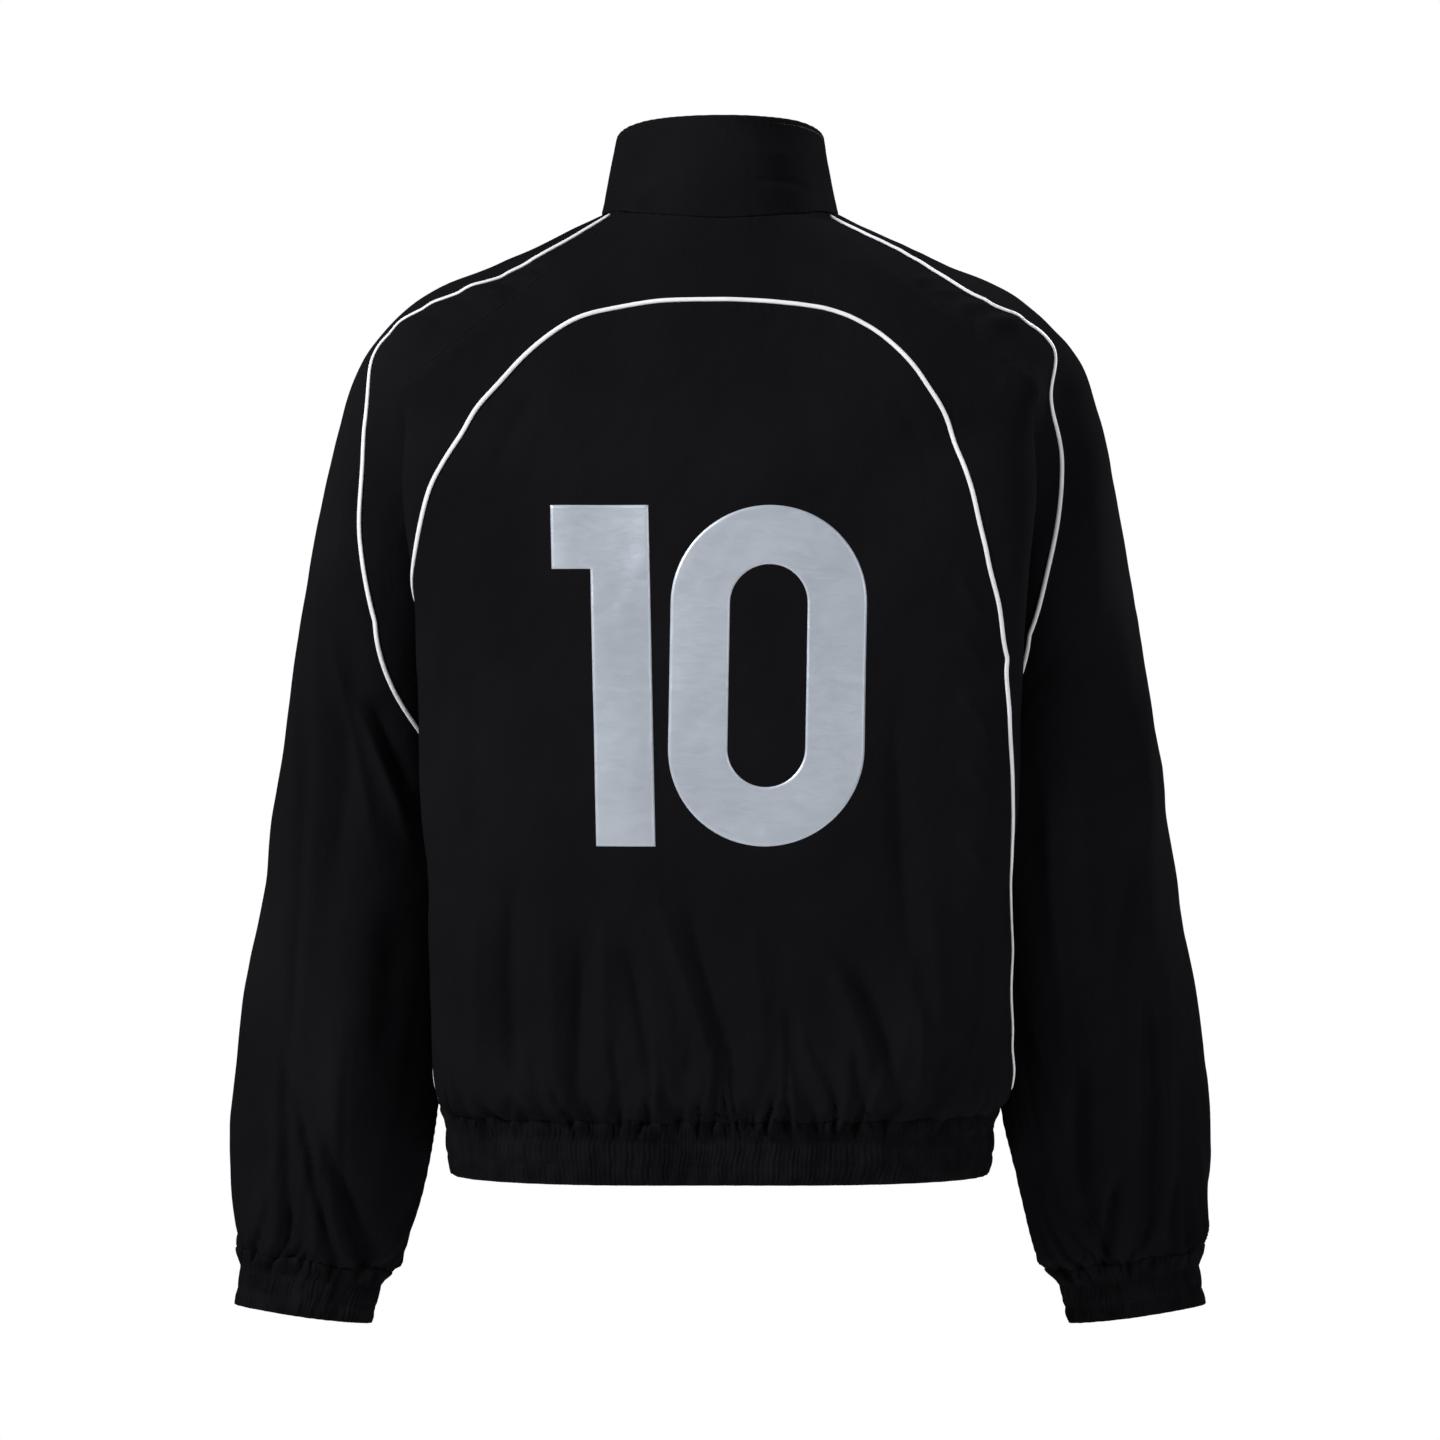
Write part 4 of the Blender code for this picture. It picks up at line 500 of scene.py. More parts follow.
def back_net(row):
    """Points of the back's half rows 0 to 15, from the middle to the raglan or side seam."""
    upper = [line[:8] for line in YOKE_BACK]
    lower = [(line[1], line[0]) + line[2:8] for line in TRUNK_BACK]
    y_mid, z_mid, x_half, y_half, x_edge, y_edge, x_tuck, y_tuck = spline_down(upper + lower, row).T
    seam = cornered([line[8:] for line in YOKE_BACK], SIDE_SEAM, row)
    between = [stack(x_half, y_half), stack(x_edge, y_edge), stack(x_tuck, y_tuck)]
    return half_row((y_mid, z_mid), between, seam)


def front_net(row):
    """Points of a front's half rows 0 to 15, from the middle to the raglan or side seam."""
    upper = [line[3:] for line in YOKE_FRONT]
    lower = [line + side[2:] for line, side in zip(TRUNK_FRONT, SIDE_SEAM)]
    x_tuck, y_tuck, x_edge, y_edge, x_half, y_half, y_mid, z_mid = spline_down(upper + lower, row).T
    seam = cornered([line[:3] for line in YOKE_FRONT], SIDE_SEAM, row)
    between = [stack(x_half, y_half), stack(x_edge, y_edge), stack(x_tuck, y_tuck)]
    return half_row((y_mid, z_mid), between, seam)


def sleeve_net(row):
    """Points of a sleeve's rows 0 to 17, from the back seam round the outer side to the front seam."""
    rows = []
    for back, front, head in zip(YOKE_BACK, YOKE_FRONT, SLEEVE_HEAD):
        seam, other = np.array(back[8:]), np.array(front[:3])
        outer = np.array(head[4:7])
        points = []
        for x, y in (head[0:2], head[2:4]):
            points.append((x, y, seam[2] + (outer[2] - seam[2]) * (x - seam[0]) / (outer[0] - seam[0])))
        points.append(outer)
        for x, y in (head[7:9], head[9:11]):
            points.append((x, y, other[2] + (outer[2] - other[2]) * (x - other[0]) / (outer[0] - other[0])))
        rows.append(np.concatenate(points))
    inner_side = []
    for x, y, z, half_width, half_depth, tilt in SLEEVE:
        ring = []
        for angle in np.radians(RING_ANGLES):
            across = math.cos(angle)
            ring.append((x + half_width * across, y + half_depth * math.sin(angle), z + tilt * across))
        rows.append(np.concatenate(ring))
        inner_side.append((x - half_width, y, z - tilt))
    between = spline_down(rows, row).reshape(len(row), 5, 3)
    back_seam = cornered([line[8:] for line in YOKE_BACK], inner_side, row)
    front_seam = cornered([line[:3] for line in YOKE_FRONT], inner_side, row)
    return np.concatenate((back_seam[:, None], between, front_seam[:, None]), axis=1)


def turned(row, over, into, way_round):
    """A panel's direction at its seam.

    Over the shoulder it runs straight over the seam, towards the underarm it turns into a valley, and
    from the underarm down it runs round the hollow.
    """
    valley = smoothstep((row - CREASE_START) / (CREASE_END - CREASE_START))[:, None]
    ring = smoothstep((row - UNDERARM) / RING_EASE + 1.0)[:, None]
    return unit((1 - ring) * ((1 - valley) * unit(over) + valley * unit(into)) + ring * way_round)


def back_surface(u, row):
    """The back: u runs from -1 at the -X seam to 1 at the +X seam."""
    net = back_net(row)
    sleeve = sleeve_net(np.minimum(row, UNDERARM))
    end = turned(row, sleeve[:, 1] - net[:, 3], net[:, 4] - net[:, 3], -BACKWARDS)
    point = spline_round(net, (1.0, 0.0, 0.0), end, np.abs(u))
    point[:, 0] *= np.sign(u)
    return point


def zip_ease(x):
    """How far a point near the middle of the front gives way to the zip."""
    return FRONT_EDGE * (1.0 - smoothstep(x / FRONT_EASE))


def front_surface(u, row):
    """The front: u runs from 0 at the raglan or side seam to 1 at the middle, on the +X side."""
    net = front_net(row)[:, ::-1]
    sleeve = sleeve_net(np.minimum(row, UNDERARM))
    start = turned(row, net[:, 1] - sleeve[:, 5], net[:, 1] - net[:, 0], -BACKWARDS)
    point = spline_round(net, start, (-1.0, 0.0, 0.0), u)
    point[:, 0] += zip_ease(point[:, 0])
    return point


def sleeve_surface(u, row):
    """The +X sleeve: u runs from 0 at the back seam, round its outer side, to 1 at the front seam."""
    net = sleeve_net(row)
    back = back_net(np.minimum(row, UNDERARM))
    front = front_net(np.minimum(row, UNDERARM))
    start = turned(row, net[:, 1] - back[:, 3], net[:, 1] - net[:, 0], BACKWARDS)
    end = turned(row, front[:, 3] - net[:, 5], net[:, 6] - net[:, 5], BACKWARDS)
    return spline_round(net, start, end, u)


# ---------------------------------------------------------------- gathers, folds and seams


def wave(turns):
    """0 between two gathers and 1 on top of one."""
    return 0.5 - 0.5 * np.cos(2.0 * math.pi * turns)


def pleat(turns, sharpness=0.03):
    """0 in the sharp stitched valley between two pleats and 1 on a pleat's round top."""
    return (np.sqrt(np.sin(math.pi * turns) ** 2 + sharpness) - math.sqrt(sharpness)) / (
        math.sqrt(1.0 + sharpness) - math.sqrt(sharpness))


def scattered(turns, seed):
    """Values spread evenly over 0 to 1, one for each whole turn."""
    return np.sin(np.floor(turns) * 12.9898 + seed) * 43758.5453 % 1.0


def tucked(turns, seed, steep=0.28):
    """Puffs, one for each turn, with 0 in the valleys between them.

    Each has a height of its own, rises slowly on one side and drops steeply on the other.
    """
    part = turns - np.floor(turns)
    part = np.where(scattered(turns, seed) > 0.5, part, 1.0 - part)
    own = 0.55 + 0.45 * scattered(turns, seed + 1.0)
    return own * smoothstep(part / (1.0 - steep)) * smoothstep((1.0 - part) / steep)


def puff(above):
    """How far a gather stands out over its seam: it swells just above the seam and dies out further up."""
    above = np.clip(above, 0.0, None)
    return (0.85 + 0.15 * smoothstep(above / 0.25)) * np.exp(-above ** 1.5)


def faded(away):
    """1 at a seam, dying out once away from it."""
    return np.exp(-np.clip(away, 0.0, None) ** 2)


def hem_gathers(point):
    """Gathers over the hem seam, by the angle round the jacket: main ones, narrow tucks and long soft folds.

    The valleys between them lean to either side as they rise, and none stands beside the legs of the piping.
    """
    around = np.arctan2(point[:, 0], point[:, 1])
    over = point[:, 2] - TRUNK_BACK[-1][0]
    calm = np.ones(len(point))
    for leg in ARCH_LEGS:
        calm = calm * (1.0 - np.exp(-((around - leg) / LEG_CALM) ** 2))
    main = HEM_GATHERS * around / (2.0 * math.pi) + 0.40 * np.sin(5 * around + 1.0)
    main += 0.30 * np.sin(9 * around)
    main += GATHER_LEAN * over * np.sin(13 * around + 2.0 * np.sin(4 * around))
    reach = HEM_GATHER_REACH * (0.55 + scattered(main, 3.0))
    height = HEM_GATHER_DEPTH * calm * tucked(main, 0.0) * puff(over / reach)
    small = HEM_TUCKS * around / (2.0 * math.pi) + 0.5 * np.sin(11 * around + 0.6)
    small += TUCK_LEAN * over * np.sin(29 * around + 1.5 * np.sin(6 * around))
    reach = TUCK_REACH * (0.6 + 0.8 * scattered(small, 4.0))
    height += TUCK_DEPTH * calm * tucked(small, 2.0) * puff(over / reach)
    long = HEM_SWELLS * around / (2.0 * math.pi) + 0.6 * np.sin(3 * around + 0.4)
    reach = HEM_SWELL_REACH * (0.55 + 0.9 * scattered(long, 6.0))
    height += HEM_SWELL * calm * tucked(long, 5.0, 0.4) * smoothstep(over / SWELL_START) * faded(over / reach)
    return height


def cuff_gathers(u, row, side):
    """Gathers over a cuff seam, by u round the sleeve: main ones, narrow tucks and long soft folds."""
    above = (CUFF_ROW - row) * CUFF_ROW_LENGTH
    main = CUFF_GATHERS * u + 0.30 * np.sin(4.0 * math.pi * u + 0.7 * side)
    main += GATHER_LEAN * above * np.sin(6.0 * math.pi * u + side)
    reach = CUFF_GATHER_REACH * (0.6 + 0.9 * scattered(main, 9.0 + side))
    height = CUFF_GATHER_DEPTH * tucked(main, 12.0 + side) * puff(above / reach)
    small = CUFF_TUCKS * u + 0.4 * np.sin(8.0 * math.pi * u)
    small += TUCK_LEAN * above * np.sin(14.0 * math.pi * u + side)
    height += TUCK_DEPTH * tucked(small, 15.0 + side) * puff(above / TUCK_REACH)
    long = CUFF_SWELLS * u + 0.25 * np.sin(4.0 * math.pi * u + 2.0)
    swell = CUFF_SWELL * (wave(long) - 0.35) * smoothstep(above / SWELL_START)
    return height + swell * faded(above / CUFF_SWELL_REACH)


def hem_drift(point):
    """The hem seam's way up and down between the gathers: crossing waves, which die out beside it."""
    around = np.arctan2(point[:, 0], point[:, 1])
    over = point[:, 2] - TRUNK_BACK[-1][0]
    stray = np.sin(31 * around + 1.3 * np.sin(7 * around)) + 0.5 * np.sin(53 * around + 2.0)
    return stack(0.0, 0.0, SEAM_WANDER / 1.5 * stray * faded(np.abs(over) / WANDER_REACH) * zip_calm(point))


def cuff_drift(u, row, side):
    """The same of a cuff's seam, along the cuff."""
    away = np.where(row > CUFF_ROW, (row - CUFF_ROW) * CUFF_HEIGHT, (CUFF_ROW - row) * CUFF_ROW_LENGTH)
    stray = np.sin(12.0 * math.pi * u + side) + 0.5 * np.sin(22.0 * math.pi * u + 2.0)
    axis = unit(np.array(CUFF_STEP)) * (side, 1.0, 1.0)
    return (SEAM_WANDER / 1.5 * stray * faded(away / WANDER_REACH))[:, None] * axis


def bent(start, bend, end, count=17):
    """Points of a smooth curve through three points: the parabola that passes the middle one half-way."""
    start, bend, end = np.array(start), np.array(bend), np.array(end)
    control = 2.0 * bend - (start + end) / 2.0
    t = np.linspace(0.0, 1.0, count)[:, None]
    return (1 - t) ** 2 * start + 2 * t * (1 - t) * control + t * t * end


def fold_height(point, normal, piece):
    """Height of the folds at each point.

    A fold is a ridge or trough along its curve, steeper on one side, which dies out at both ends. Its height
    falls off by e to the minus distance over half width, raised to FOLD_CRISPNESS, and counts by how squarely
    the cloth faces the side from which the fold is seen.
    """
    height = np.zeros(len(point))
    for (owner, view), folds in FOLDS.items():
        if owner not in ("both", piece) or (owner == "both" and piece == "collar"):
            continue
        across, facing = VIEWS[view]
        flat = point[:, (across, 2)]
        squarely = normal @ facing
        for fold in folds:
            *places, width, rise = np.array(fold) / TENTHS
            curve = bent(*np.reshape(places, (3, 2)))
            room = 3.2 * width
            near = np.all((flat > curve.min(axis=0) - room) & (flat < curve.max(axis=0) + room), axis=1)
            near = np.flatnonzero(near & (squarely > 0.02))
            if not len(near):
                continue
            step = np.diff(curve, axis=0)
            size = np.linalg.norm(step, axis=1)
            offset = flat[near, None] - curve[None, :-1]
            part = np.clip((offset * step).sum(axis=2) / size ** 2, 0.0, 1.0)
            distance = np.linalg.norm(offset - part[..., None] * step, axis=2)
            best = distance.argmin(axis=1)
            n = np.arange(len(near))
            side = offset[n, best, 0] * step[best, 1] - offset[n, best, 1] * step[best, 0]
            along = (best + part[n, best]) / len(step)
            spread = distance[n, best] / (width * np.where(side > 0, 1.35, 0.80))
            ends = smoothstep(along / 0.35) * smoothstep((1.0 - along) / 0.35)
            shown = ends * smoothstep(2.4 * squarely[near])
            height[near] += FOLD_RISE * rise * shown * np.exp(-spread ** FOLD_CRISPNESS)
    return height


def rumple(point):
    """Faint unevenness of soft cloth: crossing waves a few centimetres long, each bent by a slower one."""
    x, y, z = point.T
    slow = np.sin(34 * x + 19 * z + 2.0 * np.sin(15 * z + 9 * y))
    slow *= np.sin(24 * z - 29 * x + 1.7 * np.sin(21 * x + 11 * y))
    quick = np.sin(95 * x + 71 * y + 38 * z + 2.2 * np.sin(31 * z - 17 * x))
    fine = np.sin(190 * x - 120 * y + 66 * z + 2.6 * np.sin(58 * z + 33 * x))
    fine *= np.sin(83 * z + 2.0 * np.sin(64 * x))
    return sum(depth * waves for depth, waves in zip(RUMPLE_DEPTHS, (slow, quick, fine)))


def zip_calm(point):
    """0 beside the zip and 1 further away, where folds may stand."""
    beside = smoothstep((np.abs(point[:, 0]) - FRONT_EDGE) / ZIP_CALM)
    return np.where(point[:, 1] < -0.03, beside, 1.0)


def square_to(axis, share, normal):
    """Normals turned square to an axis by a share, so that a wall's end stays in the plane of its seam."""
    axis = unit(np.array(axis))
    return unit(normal - share[:, None] * (normal @ axis)[:, None] * axis)


def normals_of(surface, u, row):
    """Outward directions of a surface, from two small steps along it."""
    step = 1e-3
    across = surface(u + step, row) - surface(u - step, row)
    down = surface(u, row + step) - surface(u, row - step)
    return unit(np.cross(across, down))


def laid(surface, piece, gathers, last_row, end_axis, side=1):
    """A function of (u, row) that gives the folded cloth's outer points and its outward directions.

    Over the last row and a half the directions turn square to end_axis, which points out of the last seam.
    side -1 gives the mirror image of a surface made on the +X side.
    """
    mirror = np.array((side, 1.0, 1.0))

    def place(u, row):
        point = surface(u, row)
        normal = square_to(end_axis, smoothstep((row - last_row) / 1.5 + 1.0), normals_of(surface, u, row))
        seen, facing = point * mirror, normal * mirror
        height = gathers(seen, u, row) + fold_height(seen, facing, piece)
        height += rumple(seen) * end_calm(row, last_row)
        drift = hem_drift(seen) if piece == "trunk" else cuff_drift(u, row, side)
        return seen + facing * (height * zip_calm(seen))[:, None] + drift, facing

    return place


def end_calm(row, last_row):
    """1 on the panel and 0 at its last seam."""
    return smoothstep((last_row - row) / 0.5)


def plain(surface, end_axis=None, side=1, height=None, drift=None):
    """The same for a surface with no gathers: its directions are square to end_axis throughout.

    height gives its relief, and drift the way it strays with its seam, where it has them.
    """
    mirror = np.array((side, 1.0, 1.0))

    def place(u, row):
        normal = normals_of(surface, u, row)
        if end_axis:
            normal = square_to(end_axis, np.ones(len(u)), normal)
        seen, facing = surface(u, row) * mirror, normal * mirror
        if height:
            seen = seen + facing * height(seen, facing, u, row)[:, None]
        if drift:
            seen = seen + drift(seen, u, row)
        return seen, facing

    return place


def trunk_gathers(point, u, row):
    return hem_gathers(point)


def sleeve_gathers(point, u, row):
    return cuff_gathers(u, row, np.sign(point[:, 0]))


BACK = laid(back_surface, "trunk", trunk_gathers, HEM_ROW, DOWN)
FRONT = {side: laid(front_surface, "trunk", trunk_gathers, HEM_ROW, DOWN, side) for side in SIDES}
SLEEVE_CLOTH = {side: laid(sleeve_surface, "sleeve", sleeve_gathers, CUFF_ROW, CUFF_STEP, side)
                for side in SIDES}


# ---------------------------------------------------------------- meshes


def new_mesh(name, points, faces, finish, slot, replaces=(), uv=None, wear=None, smooth_angle=None):
    """An object of its own from points and lists of faces, with its finish; slot is not used.

    uv holds each point's place on the cloth in metres, and wear how near it lies to a folded or sewn edge.
    """
    mesh = bpy.data.meshes.new(name)
    mesh.from_pydata(points.tolist(), [], [face for group in faces for face in group.tolist()])
    if uv is not None:
        layer = mesh.uv_layers.new(name="cloth")
        loops = np.empty(len(mesh.loops), dtype=np.int32)
        mesh.loops.foreach_get("vertex_index", loops)
        layer.data.foreach_set("uv", uv[loops].astype(np.float32).ravel())
    if wear is not None:
        mesh.attributes.new("wear", "FLOAT", "POINT").data.foreach_set("value", wear.astype(np.float32))
    mesh.materials.append(finish)
    mesh.shade_smooth()
    if smooth_angle:
        mesh.set_sharp_from_angle(angle=math.radians(smooth_angle))
    made = bpy.data.objects.new(name, mesh)
    bpy.context.scene.collection.objects.link(made)
    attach(made, "jacket")
    if replaces:
        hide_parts(*replaces)
    return made


def grid_faces(ids):
    """Four-sided faces of a grid of point numbers, so that across times down is their outer side."""
    return np.stack((ids[:-1, :-1], ids[:-1, 1:], ids[1:, 1:], ids[1:, :-1]), axis=-1).reshape(-1, 4)


def tube_faces(ids):
    """Faces of a closed tube whose rings are the rows of ids: its sides and its two ends."""
    closed = np.concatenate((ids, ids[:, :1]), axis=1)
    return [grid_faces(closed), ids[:1, ::-1], ids[-1:]]


def rim_of(ids):
    """The point numbers round the edge of a grid, once round."""
    return np.concatenate((ids[0, :-1], ids[:-1, -1], ids[-1, :0:-1], ids[:0:-1, 0]))


def rim_faces(outer, inner):
    """Triangles between the outer rim and an inner rim that has half as many points."""
    first, middle, last = outer[0::2], outer[1::2], np.roll(outer[0::2], -1)
    after = np.roll(inner, -1)
    return np.concatenate((np.stack((first, inner, middle), axis=1), np.stack((middle, inner, after), axis=1),
                           np.stack((middle, after, last), axis=1)))


def reach_of(point):
    """How far along each line of a grid its points lie, in metres."""
    step = np.linalg.norm(np.diff(point, axis=1), axis=2)
    return np.concatenate((np.zeros((len(point), 1)), np.cumsum(step, axis=1)), axis=1)


def along_line(point):
    """How far along a line its points lie, in metres."""
    return reach_of(point[None])[0]


def turned_down(distance, radius):
    """How far a rounded edge lies under its surface: a quarter circle, one radius wide."""
    part = np.clip(1.0 - distance / radius, 0.0, 1.0)
    return radius * (1.0 - np.sqrt(1.0 - part ** 2))


def pulled_by_thread(distance, along):
    """Small waves across a seam, a few millimetres apart, which die out away from it."""
    turns = along / PUCKER_PITCH + 0.6 * np.sin(along * 90.0) + 0.4 * np.sin(along * 37.0 + 1.0)
    return PUCKER_DEPTH * (wave(turns) - 0.5) * np.exp(-(distance / PUCKER_REACH) ** 2)


def shell(name, place, u, row, finish, slot, replaces=(), wall=WALL, roll=SEAM_ROLL, puckers=True):
    """A closed wall of cloth over a grid of (u, row), with its edges rounded down into the seams.

    The inner side takes every second line of the grid, and a rim joins the two.
    """
    shape = u.shape
    point, normal = place(u.ravel(), row.ravel())
    point, normal = point.reshape(shape + (3,)), normal.reshape(shape + (3,))
    across, down = reach_of(point), reach_of(point.swapaxes(0, 1)).T
    edges = (across, across[:, -1:] - across, down, down[-1:] - down)
    lift = -sum(turned_down(edge, roll) for edge in edges)
    if puckers:
        for edge, along in zip(edges, (down, down, across, across)):
            lift = lift + pulled_by_thread(edge, along)
    outer = point + normal * lift[..., None]
    inner = (point - normal * wall)[::2, ::2]
    ids = np.arange(outer.shape[0] * outer.shape[1]).reshape(shape)
    inner_ids = ids.size + np.arange(inner.shape[0] * inner.shape[1]).reshape(inner.shape[:2])
    i, j = shape[0] // 2, shape[1] // 2
    way = np.cross(point[i, j + 1] - point[i, j], point[i + 1, j] - point[i, j]) @ normal[i, j]
    faces = [grid_faces(ids), grid_faces(inner_ids)[:, ::-1], rim_faces(rim_of(ids), rim_of(inner_ids))]
    if way < 0:
        faces = [group[:, ::-1] for group in faces]
    uv = np.stack((across - across[:, -1:] / 2, -down), axis=-1)
    near = np.minimum.reduce(edges)
    wear = np.exp(-(near / WEAR_REACH) ** 2)
    both = [np.concatenate((whole.reshape(ids.size, -1), whole[::2, ::2].reshape(inner_ids.size, -1)))
            for whole in (uv, wear)]
    points = np.concatenate((outer.reshape(-1, 3), inner.reshape(-1, 3)))
    return new_mesh(name, points, faces, finish, slot, replaces, uv=both[0], wear=both[1][:, 0])


def panel(node, place, u, row, finish, slot="cloth", **edges):
    """The cloth that takes the place of one node of the frame."""
    return shell("cloth_" + node, place, u, row, finish, slot, [node], **edges)


def stepped(length, spacing, close=(0.0003, 0.0007, 0.0012, 0.0020)):
    """Distances from 0 to a length, an odd number of them, evenly spaced but closer by each end."""
    even = round((length - 2 * close[-1]) / spacing / 2.0) * 2
    inside = np.linspace(close[-1], length - close[-1], max(even, 2) + 1)
    return np.concatenate(([0.0], close[:-1], inside, length - np.array(close[-2::-1]), [length]))


def shares(length, spacing):
    """The same as shares of the length."""
    return stepped(length, spacing) / length


def rows_along(surface, u, first, last, spacing):
    """Rows from first to last, evenly spaced along a surface at u, but closer by each end."""
    row = np.linspace(first, last, 400)
    point = surface(np.full(len(row), float(u)), row)
    reach = along_line(point)
    return np.interp(stepped(reach[-1], spacing), reach, row)


def repeated(name, points, faces, at, frames, finish, slot, replaces=(), smooth_angle=35.0):
    """Copies of one small shape, each at its own place, turned by its own frame of three directions."""
    count = len(points)
    placed = at[:, None] + np.einsum("pc,ncd->npd", points, frames)
    shift = np.arange(len(at))[:, None, None] * count
    groups = [(group[None] + shift).reshape(-1, group.shape[1]) for group in faces]
    new_mesh(name, placed.reshape(-1, 3), groups, finish, slot, replaces, smooth_angle=smooth_angle)


# ---------------------------------------------------------------- panels


def arch_curve():
    """The arch as dense (u, row) points, from the +X hem to the -X hem."""
    return spline_down(ARCH, np.linspace(0.0, len(ARCH) - 1.0, 4801))


def arch_leg(row, side):
    """u of the arch's leg at the given rows, on one side."""
    curve = arch_curve()
    half = curve[curve[:, 0] > 0] if side > 0 else curve[curve[:, 0] < 0][::-1]
    return np.interp(-np.asarray(row), -half[:, 1], half[:, 0])


def arch_top(share, evenly=1.0):
    """(u, row) over the arch between its legs at row ARCH_SHOULDER, at shares of its length.

    evenly below 1 mixes in shares of its width.
    """
    curve = arch_curve()
    curve = curve[curve[:, 1] <= ARCH_SHOULDER]
    curve[0] = (arch_leg(ARCH_SHOULDER, 1), ARCH_SHOULDER)
    curve[-1] = (arch_leg(ARCH_SHOULDER, -1), ARCH_SHOULDER)
    reach = along_line(back_surface(*curve.T))
    wide = (curve[0, 0] - curve[:, 0]) / (curve[0, 0] - curve[-1, 0])
    mixed = evenly * reach / reach[-1] + (1.0 - evenly) * wide
    return np.interp(share, mixed, curve[:, 0]), np.interp(share, mixed, curve[:, 1])


def back_centre(finish):
    """The back's middle panel, inside the arch.

    Each column runs from the arch down to the hem at the same share of the width between the two legs.
    """
    share = shares(0.36, 0.00142)[::-1]
    u_top, row_top = arch_top(share, 0.5)
    right, left = arch_leg(ARCH_SHOULDER, -1), arch_leg(ARCH_SHOULDER, 1)
    across = (u_top - right) / (left - right)
    rows = rows_along(back_surface, 0.0, 1.73, HEM_ROW, 0.0027)
    down = (rows - rows[0]) / (rows[-1] - rows[0])
    row = row_top + (HEM_ROW - row_top) * down[:, None]
    legs = np.maximum(row, ARCH_SHOULDER)
    left, right = arch_leg(legs, 1), arch_leg(legs, -1)
    made = panel("back_centre", BACK, right + (left - right) * across, row, finish)


def back_outer(finish):
    """The back's outer panel: the yoke over the arch and both sides, one horseshoe.

    Its lines run out from the arch: to the side seam beside the legs, and over the top first to the one
    raglan seam, then to the neck, then to the other raglan seam.
    """
    legs = rows_along(back_surface, 0.9, ARCH_SHOULDER, HEM_ROW, 0.0024)
    part = shares(0.09, 0.0019)
    count = 8
    u_top, row_top = arch_top(np.linspace(0.0, 1.0, 24 * count + 1))
    raglan = np.linspace(ARCH_SHOULDER, 0.0, 6 * count + 1)
    neck = np.linspace(1.0, -1.0, 12 * count + 1)[1:-1]
    u_out = np.concatenate((np.ones(len(raglan)), neck, -np.ones(len(raglan))))
    row_out = np.concatenate((raglan, np.zeros(len(neck)), raglan[::-1]))
    u_in = np.concatenate((arch_leg(legs[:0:-1], 1), u_top, arch_leg(legs[1:], -1)))
    row_in = np.concatenate((legs[:0:-1], row_top, legs[1:]))
    u_out = np.concatenate((np.ones(len(legs) - 1), u_out, -np.ones(len(legs) - 1)))
    row_out = np.concatenate((legs[:0:-1], row_out, legs[1:]))
    u = u_in[:, None] + (u_out - u_in)[:, None] * part
    row = row_in[:, None] + (row_out - row_in)[:, None] * part
    made = panel("back_outer", BACK, u, row, finish)


def front(side, finish):
    """One front, from the raglan and side seams to the zip."""
    rows = rows_along(front_surface, 0.6, 0.0, HEM_ROW, 0.0028)
    u, row = np.meshgrid(shares(0.25, 0.0020), rows)
    made = panel("front_" + SIDES[side], FRONT[side], u, row, finish)


def piping_u(row, side):
    """u of the seam under a sleeve's piping."""
    table = np.array(SLEEVE_PIPING[side])[:, None]
    return np.where(row > PIPING_END, 0.0, spline_down(table, np.minimum(row, PIPING_END))[..., 0])


def sleeve(side, finish):
    """A sleeve's main piece, in front of the piping down to the seam, then all the way round."""
    rows = rows_along(sleeve_surface, 0.5, 0.0, CUFF_ROW, 0.0031)
    start = piping_u(rows, side)[:, None]
    u = start + (1.0 - start) * shares(0.40, 0.0025)
    row = np.broadcast_to(rows[:, None], u.shape)
    made = panel("sleeve_" + SIDES[side], SLEEVE_CLOTH[side], u, row, finish)


def sleeve_back(side, finish):
    """The narrow piece between the back raglan seam and the piping, from the neck to the sleeve's seam."""
    rows = rows_along(sleeve_surface, 0.1, 0.0, PIPING_END, 0.0024)
    u = piping_u(rows, side)[:, None] * shares(0.055, 0.0020)
    row = np.broadcast_to(rows[:, None], u.shape)
    made = panel("sleeve_back_" + SIDES[side], SLEEVE_CLOTH[side], u, row, finish)


# ---------------------------------------------------------------- collar, hem band and cuffs


def joined(u, pieces):
    """Surface points where |u| from k to k + 1 reads piece k from 0 to 1; a negative u is the -X side."""
    size = np.abs(u)
    whole = np.clip(np.floor(size).astype(int), 0, len(pieces) - 1)
    point = np.stack([piece(size - k) for k, piece in enumerate(pieces)])[whole, np.arange(len(u))]
    return point * stack(np.where(u < 0, -1.0, 1.0), 1.0, 1.0)


def neck_line(u):
    """The neck seam: u from 0 at the middle of the back to 1 and 2 at the raglan seams and 3 at the zip."""
    row = np.zeros(len(u))
    surfaces = (back_surface, sleeve_surface, front_surface)
    return joined(u, [lambda v, surface=surface: surface(v, row) for surface in surfaces])


